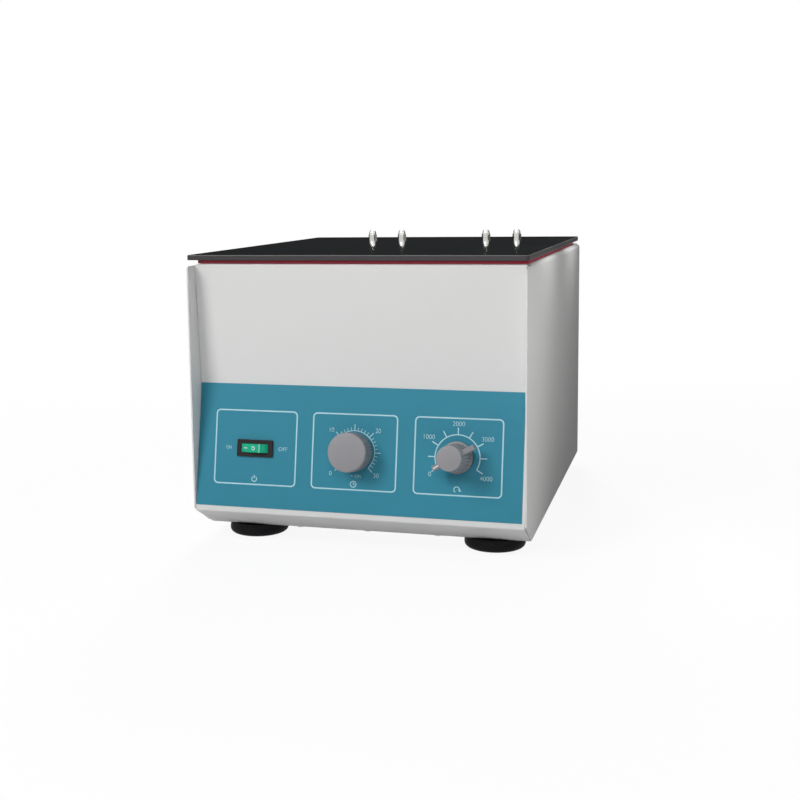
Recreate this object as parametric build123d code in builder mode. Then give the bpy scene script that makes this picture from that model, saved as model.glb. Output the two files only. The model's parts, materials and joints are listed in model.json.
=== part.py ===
"""Bench-top tube centrifuge, in millimetres.

The machine stands on the XY plane with its front facing -Y and +Z up. The origin is on the
surface it stands on, under the middle of its width and of its overall depth.

A bent sheet-metal housing carries a folded front panel with a sloping control face, a spun
chamber bowl, and a motor on rubber dampers. The motor turns a solid angle rotor. A flat lid
with a soft seal is hinged at the back.
"""

import os
from math import atan2, cos, degrees, hypot, radians, sin, tan

from build123d import *

os.makedirs("parts", exist_ok=True)

# ---------------------------------------------------------------------------
# Driving dimensions
# ---------------------------------------------------------------------------

# Clearances
seat_fit = 0.2  # between a loose sheet and the walls it sits between
hole_fit = 0.1  # radial, screw shank in its hole
running_fit = 0.05  # radial, turning shaft in its bearing or bush
press_fit = 0.02  # radial, ring held in its seat
screw_tail = 2.0  # thread that shows past what a screw holds
bolt_tail = 1.0  # thread that shows past a nut

# Housing sheet
housing_width = 280.0
housing_depth = 376.0
housing_height = 222.0
sheet = 1.5
housing_bend = 5.0  # outside radius of the two top edges
edge_round = 0.5
flange_width = 12.0

# Front panel, seen from the side: it leans back up to the fold and forward above it
chamfer_height = 16.0
chamfer_depth = 30.0
wall_cut_height = 18.0  # lower front corner of the side walls
wall_cut_depth = 30.5
fold_height = 122.0
fold_recess = 20.5
top_recess = 13.8
panel_bend = 1.8

# Base plate and feet
base_thickness = 1.5
base_slot_length = 60.0
base_slot_width = 4.0
base_slot_pitch = 12.0
base_slot_count = 5
foot_height = 10.5  # to the front panel's lower flange
foot_radius = 25.4
foot_top_radius = 24.5
foot_boss_radius = 6.0  # rises past that flange to the base plate
foot_inset_left = 38.0
foot_inset_right = 34.0
foot_inset_y = 54.0
foot_recess_radius = 8.0
foot_recess_depth = 6.0
foot_edge_round = 4.0

# Rear panel
vent_length = 46.0
vent_width = 4.0
vent_pitch = 10.0
vent_count = 8
vent_x = 62.0
vent_height = 60.0  # lowest vent above the housing's bottom

# Chamber and its seat in the deck
chamber_setback = 161.0  # chamber axis behind the housing's front
bowl_rim_radius = 124.0
bowl_rim_width = 8.0  # outside the bowl's wall
bowl_depth = 110.0
bowl_wall = 1.0
bowl_bend = 12.0
bowl_hole_radius = 18.0
bowl_fit = 0.4
boot_lip = 3.0
boot_clearance = 2.0  # round the spindle's collar

# Lid
lid_gap = 3.0  # from the deck to the lid's underside
lid_thickness = 4.2
lid_width = 284.0
lid_shift = -2.6  # the plate sits a little left of the housing's middle
lid_front_setback = 11.1
lid_rear_setback = 7.7
lid_corner = 3.0
seal_width = 11.0
seal_rim_gap = 3.2  # from the bowl's rim to the seal beside it
seal_front_setback = 14.0
seal_rear_setback = 41.0
seal_corner = 8.0
seal_clearance = 0.25  # between the seal and the deck

# Lid hinges
hinge_x = 61.6
hinge_width = 48.0
hinge_leaf = 1.2
hinge_drop = 22.0  # how far the rear leaf runs down the rear panel
hinge_reach = 9.0  # leaf past its screws
hinge_segments = 5
knuckle_radius = 3.0
knuckle_gap = 0.3
pin_radius = 1.2
pin_head_radius = 2.2
pin_head_length = 1.0
hinge_screw_x = 16.2  # either side of the hinge's middle
lid_screw_setback = 15.5  # in front of the lid's back edge
cap_nut_flats = 8.0
cap_nut_hex_height = 3.6
cap_nut_height = 8.7
cap_nut_dome_radius = 3.7
cap_nut_thread_depth = 5.8

# Rotor: tubes lean outwards going down
tube_count = 6
tube_tilt = 30.0  # degrees from the vertical
tube_circle = 44.0  # radius of the mouths' centres
pocket_depth = 72.0
sleeve_bore = 8.8
sleeve_wall = 1.4
sleeve_floor = 1.5
sleeve_flange_radius = 12.2
sleeve_flange = 2.0
sleeve_fit = 0.1
sleeve_end_gap = 0.5  # under a sleeve in its pocket
rotor_rim = 14.0  # from a tube's axis to the outer wall
rotor_hub_radius = 26.0
rotor_floor = 4.0  # under the deepest point of a pocket
rotor_clearance = 6.0  # above the bowl's floor
rotor_rim_round = 2.0
rotor_skirt_round = 5.0
rotor_nut_radius = 14.0
rotor_nut_height = 14.0
rotor_nut_edge = 1.0
rotor_nut_grips = 6
rotor_nut_grip_radius = 4.0
rotor_nut_grip_circle = 16.0

# Spindle
spindle_radius = 6.0
spindle_collar_radius = 10.0
spindle_collar_height = 12.0
spindle_thread_radius = 5.0
spindle_thread_length = 11.0

# Motor and its mounting
motor_radius = 45.0
motor_wall = 2.0
motor_end_wall = 4.0
motor_height = 72.0
motor_bottom = 28.0  # above the housing's bottom
motor_collar_radius = 54.0
motor_collar_height = 3.0
bearing_radius = 16.0
bearing_height = 10.0
bearing_boss_wall = 3.0
shaft_hole_radius = 9.0
post_circle = 68.0
post_radius = 7.0
post_height = 42.0
post_count = 3
damper_radius = 11.0
damper_height = 16.0
damper_waist = 2.0
flange_plate = 3.0
flange_plate_radius = 81.0
stator_bore = 26.0
stator_height = 30.0
stator_gap = 4.0  # under the top bearing
armature_height = 26.0
armature_gap = 0.6
armature_slots = 12
armature_slot_radius = 1.5
commutator_radius = 12.0
commutator_height = 8.0
commutator_gap = 3.0  # under the armature
brush_side = 4.0
brush_gap = 0.3
brush_fit = 0.1
brush_holder_radius = 4.0
brush_holder_setback = 4.0  # its end, from the brush's face
brush_cap_radius = 5.6
brush_cap_thickness = 2.0

# Control face: positions are measured along the slope, from its lower edge
control_v = 54.0
timer_v = 54.6
switch_inset = 52.7  # the switch's middle, from the housing's left side
speed_inset = 56.6  # the speed knob's middle, from the housing's right side
label_thickness = 0.4
label_margin = 4.8  # bare strip under the label
label_top_margin = 0.6  # from the label to the fold above it
label_left_gap = 0.3
label_right_gap = 2.3

# Timer
timer_knob_radius = 16.0
timer_knob_base = 3.0  # above the panel
timer_knob_front = 23.0
timer_flutes = 40
timer_edge_round = 1.6
timer_lip = 1.8  # plain band at the front
timer_body_side = 42.0
timer_body_depth = 26.0
timer_bush_radius = 5.0
timer_bore_depth = 16.0
timer_nut_flats = 14.0

# Speed control
speed_skirt_radius = 12.8
speed_skirt_height = 2.8
speed_knob_base = 1.8
speed_knob_front = 35.0
speed_base_radius = 11.4
speed_front_radius = 9.9
speed_flutes = 24
speed_flute_end = 2.0  # below the front face
speed_recess_radius = 9.0
speed_recess_height = 2.4
pointer_angle = 210.0  # degrees anticlockwise from the right, at the dial's zero
pointer_reach = 18.7
pointer_width = 4.2
pointer_low = 12.0
pointer_tip_high = 18.0
pointer_root_high = 25.0
pot_radius = 12.0
pot_depth = 11.0
pot_bush_radius = 4.7
pot_bore_depth = 11.0
pot_nut_flats = 12.7

# Shared by both controls
control_shaft_radius = 3.0
control_bush_height = 2.7  # above the panel
shaft_end_gap = 1.6  # under a shaft in its bush
panel_nut_height = 2.2
knob_front_wall = 3.0
flute_radius = 0.6
flute_setback = 0.3  # of a flute's middle, outside the knob

# Power switch
bezel_length = 31.0
bezel_height = 14.0
bezel_proud = 2.0
bezel_corner = 1.0
switch_body_length = 27.8
switch_body_height = 12.2
switch_body_depth = 22.0
rocker_width = 7.0
rocker_radius = 12.9  # its ends turn about the pivot
rocker_chord = 9.4  # from the pivot to its flat face
rocker_pivot = 6.2  # below the bezel's front
rocker_throw = 28.0  # degrees, from on to off
rocker_root = 2.5  # how far it reaches below the pivot
rocker_fit = 0.25
rocker_pin_radius = 1.2
rocker_pin_length = 1.2

# Power inlet and fuse
inlet_x = -70.0
inlet_height = 45.0  # above the housing's bottom
inlet_length = 31.5
inlet_width = 24.5
inlet_corner = 2.0
inlet_proud = 2.5
inlet_body_length = 27.4
inlet_body_width = 20.4
inlet_body_depth = 22.0
inlet_socket_length = 24.6
inlet_socket_width = 16.6
inlet_socket_depth = 17.0
inlet_socket_bevel = 4.0
inlet_pin_length = 15.0
inlet_pin_root = 4.0
inlet_pin_thickness = 2.0
inlet_pin_width = 4.0
inlet_pin_pitch = 7.0
inlet_earth_rise = 4.0
fuse_x = -28.0
fuse_radius = 6.0
fuse_wall = 2.0
fuse_depth = 28.0
fuse_flange = 1.0
fuse_cap_radius = 7.5
fuse_cap_proud = 4.5
fuse_cap_stem = 14.0
fuse_slot_length = 10.0
fuse_slot_width = 1.4
fuse_slot_depth = 1.2

# Control board
board_length = 110.0
board_width = 44.0
board_thickness = 1.6
board_setback = 66.0
board_height = 8.0  # above the base plate
standoff_radius = 3.0
standoff_stud_radius = 1.4
standoff_inset = 5.0
capacitor_size = (22.0, 9.0, 15.0)
capacitor_pitch = 20.0
sink_width = 24.0
sink_floor = 3.0
sink_height = 16.0
sink_fin = 1.5
sink_fin_pitch = 5.0
sink_fins = 6

# Places of the housing's screws
base_screw_pitch = 100.0
base_screw_shift = 40.0  # the middle one, behind the spindle
panel_screw_pitch = 60.0
rear_screw_low = 25.0  # above the housing's bottom
rear_screw_pitch = 85.0
side_screw_count = 3
rim_screw_count = 4
collar_screw_turn = 60.0  # degrees, from the mounting posts

# Fasteners: head radius, head height, shank radius
m3 = (2.8, 1.6, 1.5)
m4 = (4.0, 2.6, 2.0)
m5_flat = (4.6, 1.4, 2.5)
m5 = (4.8, 3.0, 2.5)
m6 = (5.0, 4.0, 3.0)
nut_m5 = (8.0, 4.0)  # across flats, height
nut_m6 = (10.0, 5.0)

# ---------------------------------------------------------------------------
# Derived places
# ---------------------------------------------------------------------------

# the front panel's lower flange lies under the base plate, and the side walls end at its top
base_z = foot_height + sheet
base_top = base_z + base_thickness
deck_z = base_top + housing_height
inner_width = housing_width - 2 * sheet
panel_width = inner_width - 2 * seat_fit

slope_rise = fold_height - chamfer_height
slope_tilt = atan2(fold_recess, slope_rise)
label_height = hypot(slope_rise, fold_recess) - label_margin - label_top_margin
label_width = panel_width - label_left_gap - label_right_gap
label_shift = (label_left_gap - label_right_gap) / 2
# the panel's lower slope runs on past the side walls to the bottom of its flange
chamfer_run = chamfer_depth * (base_top + chamfer_height - foot_height) / chamfer_height

# the hinges stand out at the back and the speed knob at the front
hinge_overhang = 2 * knuckle_radius + seat_fit
knob_low_edge = control_v - speed_front_radius
knob_overhang = speed_knob_front * cos(slope_tilt) - knob_low_edge * sin(slope_tilt)
front_y = (knob_overhang - housing_depth - hinge_overhang) / 2
rear_y = front_y + housing_depth
chamber_y = front_y + chamber_setback
base_front = front_y + chamfer_run + sheet
base_rear = rear_y - sheet

bowl_radius = bowl_rim_radius - bowl_rim_width - bowl_wall
seal_length_x = 2 * (bowl_rim_radius + seal_rim_gap + seal_width)
seal_length_y = housing_depth - seal_front_setback - seal_rear_setback
lid_bottom = deck_z + lid_gap
lid_top = lid_bottom + lid_thickness
lid_front_y = front_y + lid_front_setback
lid_rear_y = rear_y - lid_rear_setback
lid_screw_y = lid_rear_y - lid_screw_setback
hinge_y = rear_y + seat_fit + knuckle_radius
hinge_z = lid_bottom - hinge_leaf / 2

bowl_floor_z = deck_z - bowl_depth
rotor_bottom_z = bowl_floor_z + rotor_clearance
lean = radians(tube_tilt)
sleeve_radius = sleeve_bore + sleeve_wall
pocket_radius = sleeve_radius + sleeve_fit
pocket_drop = pocket_depth * cos(lean) + pocket_radius * sin(lean)
mouth_z = rotor_bottom_z + rotor_floor + pocket_drop
hub_top_z = mouth_z - (tube_circle - rotor_hub_radius) * tan(lean)

motor_z = base_top + motor_bottom
motor_top = motor_z + motor_height
post_top = base_top + post_height
damper_top = post_top + damper_height
flange_top = damper_top + flange_plate
collar_top = flange_top + motor_collar_height

can_inner = motor_radius - motor_wall
bearing_seat = bearing_radius + press_fit
bearing_boss = bearing_radius + bearing_boss_wall
low_bearing_z = motor_z + motor_end_wall
top_bearing_z = motor_top - motor_end_wall - bearing_height
stator_z = top_bearing_z - stator_gap - stator_height
armature_z = stator_z + (stator_height - armature_height) / 2
commutator_z = armature_z - commutator_gap - commutator_height
brush_z = commutator_z + commutator_height / 2
brush_face = commutator_radius + brush_gap
brush_cap_x = motor_radius + hole_fit

# Section through the spindle: X away from it, Y up
spindle_section = Plane.XZ.offset(-chamber_y)
spindle_axis = Axis((0, chamber_y, 0), (0, 0, 1))
# The two brushes lie along X, and each plane's Z points away from the spindle
brush_ways = [Plane(origin=(0, chamber_y, brush_z), z_dir=(side, 0, 0)) for side in (-1, 1)]

# Control face: X across, Y up the slope, Z out of the panel
control_face = Plane(
    origin=(0, front_y, base_top + chamfer_height),
    x_dir=(1, 0, 0),
    z_dir=(0, -cos(slope_tilt), sin(slope_tilt)),
)
switch_x = switch_inset - housing_width / 2
speed_x = housing_width / 2 - speed_inset
timer_x = (switch_x + speed_x) / 2

front_plane = Plane.XZ.offset(-front_y)

# Rear face: X runs towards the machine's left, Y up, Z out of the panel
rear_face = Plane(origin=(0, rear_y, 0), x_dir=(-1, 0, 0), z_dir=(0, 1, 0))

above = (Align.CENTER, Align.CENTER, Align.MIN)
below = (Align.CENTER, Align.CENTER, Align.MAX)

foot_places = {
    "foot_front_left": (-housing_width / 2 + foot_inset_left, front_y + foot_inset_y),
    "foot_front_right": (housing_width / 2 - foot_inset_right, front_y + foot_inset_y),
    "foot_rear_left": (-housing_width / 2 + foot_inset_left, rear_y - foot_inset_y),
    "foot_rear_right": (housing_width / 2 - foot_inset_right, rear_y - foot_inset_y),
}
post_angles = [90 + 360 / post_count * i for i in range(post_count)]
post_places = [
    (post_circle * cos(radians(a)), chamber_y + post_circle * sin(radians(a))) for a in post_angles
]
base_screw_x = inner_width / 2 - flange_width / 2
base_screw_places = [
    (side * base_screw_x, chamber_y + base_screw_shift + step * base_screw_pitch)
    for side in (-1, 1)
    for step in (-1, 0, 1)
]
panel_flange_y = front_y + chamfer_run + flange_width / 2
panel_screw_places = [(step * panel_screw_pitch, panel_flange_y) for step in (-1, 0, 1)]
rear_screw_places = [
    (side * base_screw_x, base_top + rear_screw_low + i * rear_screw_pitch)
    for side in (-1, 1)
    for i in range(side_screw_count)
]
hinge_screw_z = hinge_z - knuckle_radius - (hinge_drop - knuckle_radius) / 2
hinge_screw_places = [
    (middle + side * hinge_screw_x, hinge_screw_z)
    for middle in (-hinge_x, hinge_x)
    for side in (-1, 1)
]
lid_screw_places = [
    (middle + side * hinge_screw_x, lid_screw_y)
    for middle in (-hinge_x, hinge_x)
    for side in (-1, 1)
]
standoff_places = [
    (
        side * (board_length / 2 - standoff_inset),
        front_y + board_setback + end * (board_width / 2 - standoff_inset),
    )
    for side in (-1, 1)
    for end in (-1, 1)
]
rim_screw_radius = (bowl_radius + bowl_wall + bowl_rim_radius) / 2
rim_screw_places = [
    (
        rim_screw_radius * cos(radians(a)),
        chamber_y + rim_screw_radius * sin(radians(a)),
    )
    for a in [360 / rim_screw_count * (i + 0.5) for i in range(rim_screw_count)]
]
collar_screw_circle = (motor_radius + motor_collar_radius) / 2
collar_screw_places = [
    (
        collar_screw_circle * cos(radians(a + collar_screw_turn)),
        chamber_y + collar_screw_circle * sin(radians(a + collar_screw_turn)),
    )
    for a in post_angles
]


def places_on(plane, points):
    """The plane's own location at each (x, y) point of it."""
    return [plane.location * Location((x, y, 0)) for x, y in points]


def shifted(plane, x, y, z=0, turn=0):
    """The plane moved along its own axes, then turned about its Z."""
    return Plane(plane.location * Location((x, y, z), (0, 0, turn)))


def from_below(points, height):
    """Places at each (x, y) point and one height, facing down."""
    return [Plane(origin=(x, y, height), z_dir=(0, 0, -1)).location for x, y in points]


def add_screws(places, size, length):
    """Pan-head screws whose heads stand on each place and whose shanks run back through it."""
    head_radius, head_height, shank_radius = size
    with Locations(*places):
        Cylinder(head_radius, head_height, align=above)
        Cylinder(shank_radius, length, align=below)


def cut_holes(places, radius, depth):
    """Round holes, open at each place and running back through the piece under it."""
    with Locations(*places):
        Cylinder(radius, depth, align=below, mode=Mode.SUBTRACT)


def add_nuts(places, size, bore):
    """Hexagon nuts standing on each place."""
    flats, height = size
    with BuildSketch(*[Plane(place) for place in places]) as nut_outline:
        RegularPolygon(flats / 2, 6, major_radius=False)
        Circle(bore, mode=Mode.SUBTRACT)
    extrude(nut_outline.sketch, amount=height)


def along_tube(across, down):
    """(radius, height) of a point seen from a mouth's middle: across the tube's axis away from
    the spindle, and down along the axis."""
    return (
        tube_circle + across * cos(lean) + down * sin(lean),
        mouth_z + across * sin(lean) - down * cos(lean),
    )


def pocket_mouth(angle):
    """Plane of a pocket's mouth, whose Z is the tube's way out."""
    away_x = cos(radians(angle))
    away_y = sin(radians(angle))
    return Plane(
        origin=(tube_circle * away_x, chamber_y + tube_circle * away_y, mouth_z),
        x_dir=(-away_y, away_x, 0),
        z_dir=(-sin(lean) * away_x, -sin(lean) * away_y, cos(lean)),
    )


pocket_places = [pocket_mouth(360 / tube_count * (i + 0.5)).location for i in range(tube_count)]


# ---------------------------------------------------------------------------
# Housing
# ---------------------------------------------------------------------------

# One sheet bent over the top: two side walls and the deck, with return flanges
with BuildPart() as housing_shell:
    with BuildSketch(front_plane) as shell_outline:
        with Locations((0, base_top)):
            Rectangle(housing_width, housing_height, align=(Align.CENTER, Align.MIN))
        fillet(shell_outline.vertices().group_by(Axis.Y)[-1], housing_bend)
    extrude(amount=-housing_depth)
    with BuildSketch(front_plane) as shell_inside:
        with Locations((0, base_top)):
            Rectangle(inner_width, housing_height - sheet, align=(Align.CENTER, Align.MIN))
        fillet(shell_inside.vertices().group_by(Axis.Y)[-1], housing_bend - sheet)
    extrude(amount=-housing_depth, mode=Mode.SUBTRACT)
    # the deck stops behind the front panel's upper flange
    with Locations((0, front_y, deck_z)):
        Box(
            inner_width,
            2 * (top_recess + flange_width + seat_fit),
            2 * (housing_bend + sheet),
            mode=Mode.SUBTRACT,
        )
    # lower front corner of both side walls
    with BuildSketch(Plane.YZ.offset(-housing_width / 2)):
        with BuildLine():
            Polyline(
                (front_y - wall_cut_depth, base_top + 2 * wall_cut_height),
                (front_y + 2 * wall_cut_depth, base_top - wall_cut_height),
                (front_y - wall_cut_depth, base_top - wall_cut_height),
                close=True,
            )
        make_face()
    extrude(amount=housing_width, mode=Mode.SUBTRACT)
    fillet(
        housing_shell.edges()
        .filter_by(Axis.Z)
        .filter_by(lambda edge: abs(edge.center().Y - front_y) < edge_round),
        edge_round,
    )
    # return flanges along the bottom and up the back
    for side in (-1, 1):
        flange_x = side * (inner_width - flange_width) / 2
        with Locations((flange_x, base_front, base_top)):
            Box(
                flange_width,
                base_rear - base_front,
                sheet,
                align=(Align.CENTER, Align.MIN, Align.MIN),
            )
        with Locations((flange_x, base_rear, base_top)):
            Box(
                flange_width,
                sheet,
                housing_height - sheet,
                align=(Align.CENTER, Align.MAX, Align.MIN),
            )
    with Locations((0, chamber_y, deck_z)):
        Cylinder(
            bowl_radius + bowl_wall + bowl_fit,
            4 * sheet,
            mode=Mode.SUBTRACT,
        )
    cut_holes([Location((x, y, deck_z)) for x, y in rim_screw_places], m3[2] + hole_fit, 2 * sheet)
    base_hole_depth = base_thickness + 2 * sheet
    cut_holes(
        [Location((x, y, base_z + base_hole_depth)) for x, y in base_screw_places],
        m3[2] + hole_fit,
        base_hole_depth,
    )
    cut_holes(
        places_on(rear_face, [(-x, z) for x, z in rear_screw_places]),
        m3[2] + hole_fit,
        3 * sheet,
    )
housing_shell.part.label = "housing_shell"
export_step(housing_shell.part, "parts/housing_shell.step")

# Folded front panel between the side walls
with BuildPart() as front_panel:
    with BuildSketch(Plane.YZ):
        with BuildLine() as fold_line:
            FilletPolyline(
                (front_y + top_recess + flange_width, deck_z),
                (front_y + top_recess, deck_z),
                (front_y + fold_recess, base_top + fold_height),
                (front_y, base_top + chamfer_height),
                (front_y + chamfer_run, foot_height),
                (front_y + chamfer_run + flange_width, foot_height),
                radius=panel_bend,
            )
            offset(amount=sheet, side=Side.LEFT)
        make_face()
    extrude(amount=panel_width / 2, both=True)
    with BuildSketch(front_plane) as panel_outline:
        with Locations((0, foot_height)):
            Rectangle(panel_width, deck_z - foot_height, align=(Align.CENTER, Align.MIN))
        fillet(
            panel_outline.vertices().group_by(Axis.Y)[-1],
            housing_bend - (housing_width - panel_width) / 2,
        )
    extrude(amount=-housing_depth, mode=Mode.INTERSECT)
    with BuildSketch(control_face):
        with Locations((switch_x, control_v)):
            Rectangle(switch_body_length + 2 * hole_fit, switch_body_height + 2 * hole_fit)
        with Locations((timer_x, timer_v)):
            Circle(timer_bush_radius + hole_fit)
        with Locations((speed_x, control_v)):
            Circle(pot_bush_radius + hole_fit)
    extrude(amount=2 * sheet, both=True, mode=Mode.SUBTRACT)
    cut_holes(
        [Location((x, y, base_z + sheet)) for x, y in panel_screw_places],
        m3[2] + hole_fit,
        3 * sheet,
    )
front_panel.part.label = "front_panel"
export_step(front_panel.part, "parts/front_panel.step")

# Printed film on the control face
with BuildPart() as control_label:
    with BuildSketch(control_face):
        with Locations((label_shift, label_margin + label_height / 2)):
            Rectangle(label_width, label_height)
        with Locations((switch_x, control_v)):
            Rectangle(
                switch_body_length + 2 * hole_fit,
                switch_body_height + 2 * hole_fit,
                mode=Mode.SUBTRACT,
            )
        with Locations((timer_x, timer_v)):
            Circle(timer_bush_radius + hole_fit, mode=Mode.SUBTRACT)
        with Locations((speed_x, control_v)):
            Circle(pot_bush_radius + hole_fit, mode=Mode.SUBTRACT)
    extrude(amount=label_thickness)
control_label.part.label = "control_label"
export_step(control_label.part, "parts/control_label.step")

with BuildPart() as base_plate:
    with Locations((0, base_front, base_z)):
        Box(
            panel_width,
            base_rear - base_front,
            base_thickness,
            align=(Align.CENTER, Align.MIN, Align.MIN),
        )
    with BuildSketch(Plane.XY.offset(base_z)):
        for side in (-1, 1):
            with Locations((side * vent_x, rear_y - 2 * foot_inset_y)):
                with GridLocations(0, base_slot_pitch, 1, base_slot_count):
                    SlotOverall(base_slot_length, base_slot_width)
    extrude(amount=base_thickness, mode=Mode.SUBTRACT)
    cut_holes(
        [Location((x, y, base_top)) for x, y in base_screw_places + panel_screw_places],
        m3[2] + hole_fit,
        base_thickness,
    )
    cut_holes(
        [Location((x, y, base_top)) for x, y in foot_places.values()],
        m5[2] + hole_fit,
        base_thickness,
    )
    cut_holes(
        [Location((x, y, base_top)) for x, y in post_places],
        m6[2] + hole_fit,
        base_thickness,
    )
base_plate.part.label = "base_plate"
export_step(base_plate.part, "parts/base_plate.step")

with BuildPart() as rear_panel:
    with Locations((0, rear_y, base_z)):
        Box(
            panel_width,
            sheet,
            deck_z - sheet - base_z,
            align=(Align.CENTER, Align.MAX, Align.MIN),
        )
    fillet(rear_panel.edges().filter_by(Axis.Y).group_by(Axis.Z)[-1], housing_bend - sheet)
    with BuildSketch(rear_face):
        for side in (-1, 1):
            for i in range(vent_count):
                with Locations((side * vent_x, base_top + vent_height + vent_pitch * (i + 1))):
                    SlotOverall(vent_length, vent_width)
        with Locations((-inlet_x, base_top + inlet_height)):
            Rectangle(inlet_body_length + 2 * hole_fit, inlet_body_width + 2 * hole_fit)
        with Locations((-fuse_x, base_top + inlet_height)):
            Circle(fuse_radius + hole_fit)
    extrude(amount=-sheet, mode=Mode.SUBTRACT)
    cut_holes(
        places_on(rear_face, [(-x, z) for x, z in rear_screw_places + hinge_screw_places]),
        m3[2] + hole_fit,
        sheet,
    )
rear_panel.part.label = "rear_panel"
export_step(rear_panel.part, "parts/rear_panel.step")

# Spun bowl, hung by its rim on the deck
with BuildPart() as chamber_bowl:
    with BuildSketch(spindle_section) as bowl_section:
        with BuildLine():
            Polyline(
                (bowl_hole_radius, bowl_floor_z),
                (bowl_radius, bowl_floor_z),
                (bowl_radius, deck_z + bowl_wall),
                (bowl_rim_radius, deck_z + bowl_wall),
                (bowl_rim_radius, deck_z),
                (bowl_radius + bowl_wall, deck_z),
                (bowl_radius + bowl_wall, bowl_floor_z - bowl_wall),
                (bowl_hole_radius, bowl_floor_z - bowl_wall),
                close=True,
            )
        make_face()
        fillet(bowl_section.vertices().sort_by_distance((bowl_radius, bowl_floor_z))[0], bowl_bend)
        fillet(
            bowl_section.vertices().sort_by_distance(
                (bowl_radius + bowl_wall, bowl_floor_z - bowl_wall)
            )[0],
            bowl_bend + bowl_wall,
        )
    revolve(axis=spindle_axis)
    cut_holes(
        [Location((x, y, deck_z + bowl_wall)) for x, y in rim_screw_places],
        m3[2] + hole_fit,
        bowl_wall,
    )
chamber_bowl.part.label = "chamber_bowl"
export_step(chamber_bowl.part, "parts/chamber_bowl.step")

with BuildPart() as bowl_screws:
    add_screws(
        [Location((x, y, deck_z + bowl_wall)) for x, y in rim_screw_places],
        m3,
        bowl_wall + sheet + screw_tail,
    )
bowl_screws.part.label = "bowl_screws"
export_step(bowl_screws.part, "parts/bowl_screws.step")

with BuildPart() as base_screws:
    add_screws(
        from_below(base_screw_places, base_z) + from_below(panel_screw_places, foot_height),
        m3,
        base_thickness + sheet + screw_tail,
    )
base_screws.part.label = "base_screws"
export_step(base_screws.part, "parts/base_screws.step")

with BuildPart() as rear_screws:
    add_screws(
        places_on(rear_face, [(-x, z) for x, z in rear_screw_places]),
        m3,
        2 * sheet + screw_tail,
    )
rear_screws.part.label = "rear_screws"
export_step(rear_screws.part, "parts/rear_screws.step")

# ---------------------------------------------------------------------------
# Feet
# ---------------------------------------------------------------------------

for foot_name, (foot_x, foot_y) in foot_places.items():
    with BuildPart() as foot:
        upright = Plane(origin=(foot_x, foot_y, 0), x_dir=(1, 0, 0), z_dir=(0, -1, 0))
        with BuildSketch(upright) as foot_section:
            with BuildLine():
                Polyline(
                    (m5[2] + hole_fit, foot_recess_depth),
                    (foot_recess_radius, foot_recess_depth),
                    (foot_recess_radius, 0),
                    (foot_radius, 0),
                    (foot_radius, foot_height / 2),
                    (foot_top_radius, foot_height),
                    (foot_boss_radius, foot_height),
                    (foot_boss_radius, base_z),
                    (m5[2] + hole_fit, base_z),
                    close=True,
                )
            make_face()
            fillet(foot_section.vertices().sort_by_distance((foot_radius, 0))[0], foot_edge_round)
        revolve(axis=Axis((foot_x, foot_y, 0), (0, 0, 1)))
    foot.part.label = foot_name
    export_step(foot.part, f"parts/{foot_name}.step")

with BuildPart() as foot_screws:
    add_screws(
        from_below(foot_places.values(), foot_recess_depth),
        m5,
        base_top - foot_recess_depth + nut_m5[1] + bolt_tail,
    )
foot_screws.part.label = "foot_screws"
export_step(foot_screws.part, "parts/foot_screws.step")

with BuildPart() as foot_nuts:
    add_nuts(
        [Location((x, y, base_top)) for x, y in foot_places.values()],
        nut_m5,
        m5[2] + press_fit,
    )
foot_nuts.part.label = "foot_nuts"
export_step(foot_nuts.part, "parts/foot_nuts.step")

# ---------------------------------------------------------------------------
# Motor mounting: long bolts run up through posts, rubber dampers and the flange
# ---------------------------------------------------------------------------

with BuildPart() as motor_posts:
    with Locations(*[(x, y, base_top) for x, y in post_places]):
        Cylinder(post_radius, post_height, align=above)
    cut_holes([Location((x, y, post_top)) for x, y in post_places], m6[2] + hole_fit, post_height)
motor_posts.part.label = "motor_posts"
export_step(motor_posts.part, "parts/motor_posts.step")

with BuildPart() as motor_dampers:
    with BuildSketch(Plane.XZ):
        with BuildLine():
            underside = Line((m6[2] + hole_fit, 0), (damper_radius, 0))
            waist = ThreePointArc(
                underside @ 1,
                (damper_radius - damper_waist, damper_height / 2),
                (damper_radius, damper_height),
            )
            Polyline(
                waist @ 1,
                (m6[2] + hole_fit, damper_height),
                (m6[2] + hole_fit, 0),
            )
        make_face()
    damper = revolve(axis=Axis.Z, mode=Mode.PRIVATE)
    with Locations(*[(x, y, post_top) for x, y in post_places]):
        add(damper)
motor_dampers.part.label = "motor_dampers"
export_step(motor_dampers.part, "parts/motor_dampers.step")

with BuildPart() as motor_flange:
    with BuildSketch(Plane.XY.offset(damper_top)):
        with Locations((0, chamber_y)):
            Circle(flange_plate_radius)
            Circle(motor_radius + hole_fit, mode=Mode.SUBTRACT)
        with Locations(*post_places):
            Circle(m6[2] + hole_fit, mode=Mode.SUBTRACT)
        with Locations(*collar_screw_places):
            Circle(m4[2] + hole_fit, mode=Mode.SUBTRACT)
    extrude(amount=flange_plate)
motor_flange.part.label = "motor_flange"
export_step(motor_flange.part, "parts/motor_flange.step")

with BuildPart() as motor_bolts:
    add_screws(
        from_below(post_places, base_z),
        m6,
        flange_top - base_z + nut_m6[1] + bolt_tail,
    )
motor_bolts.part.label = "motor_bolts"
export_step(motor_bolts.part, "parts/motor_bolts.step")

with BuildPart() as motor_nuts:
    add_nuts(
        [Location((x, y, flange_top)) for x, y in post_places],
        nut_m6,
        m6[2] + press_fit,
    )
motor_nuts.part.label = "motor_nuts"
export_step(motor_nuts.part, "parts/motor_nuts.step")

# ---------------------------------------------------------------------------
# Motor
# ---------------------------------------------------------------------------

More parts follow.
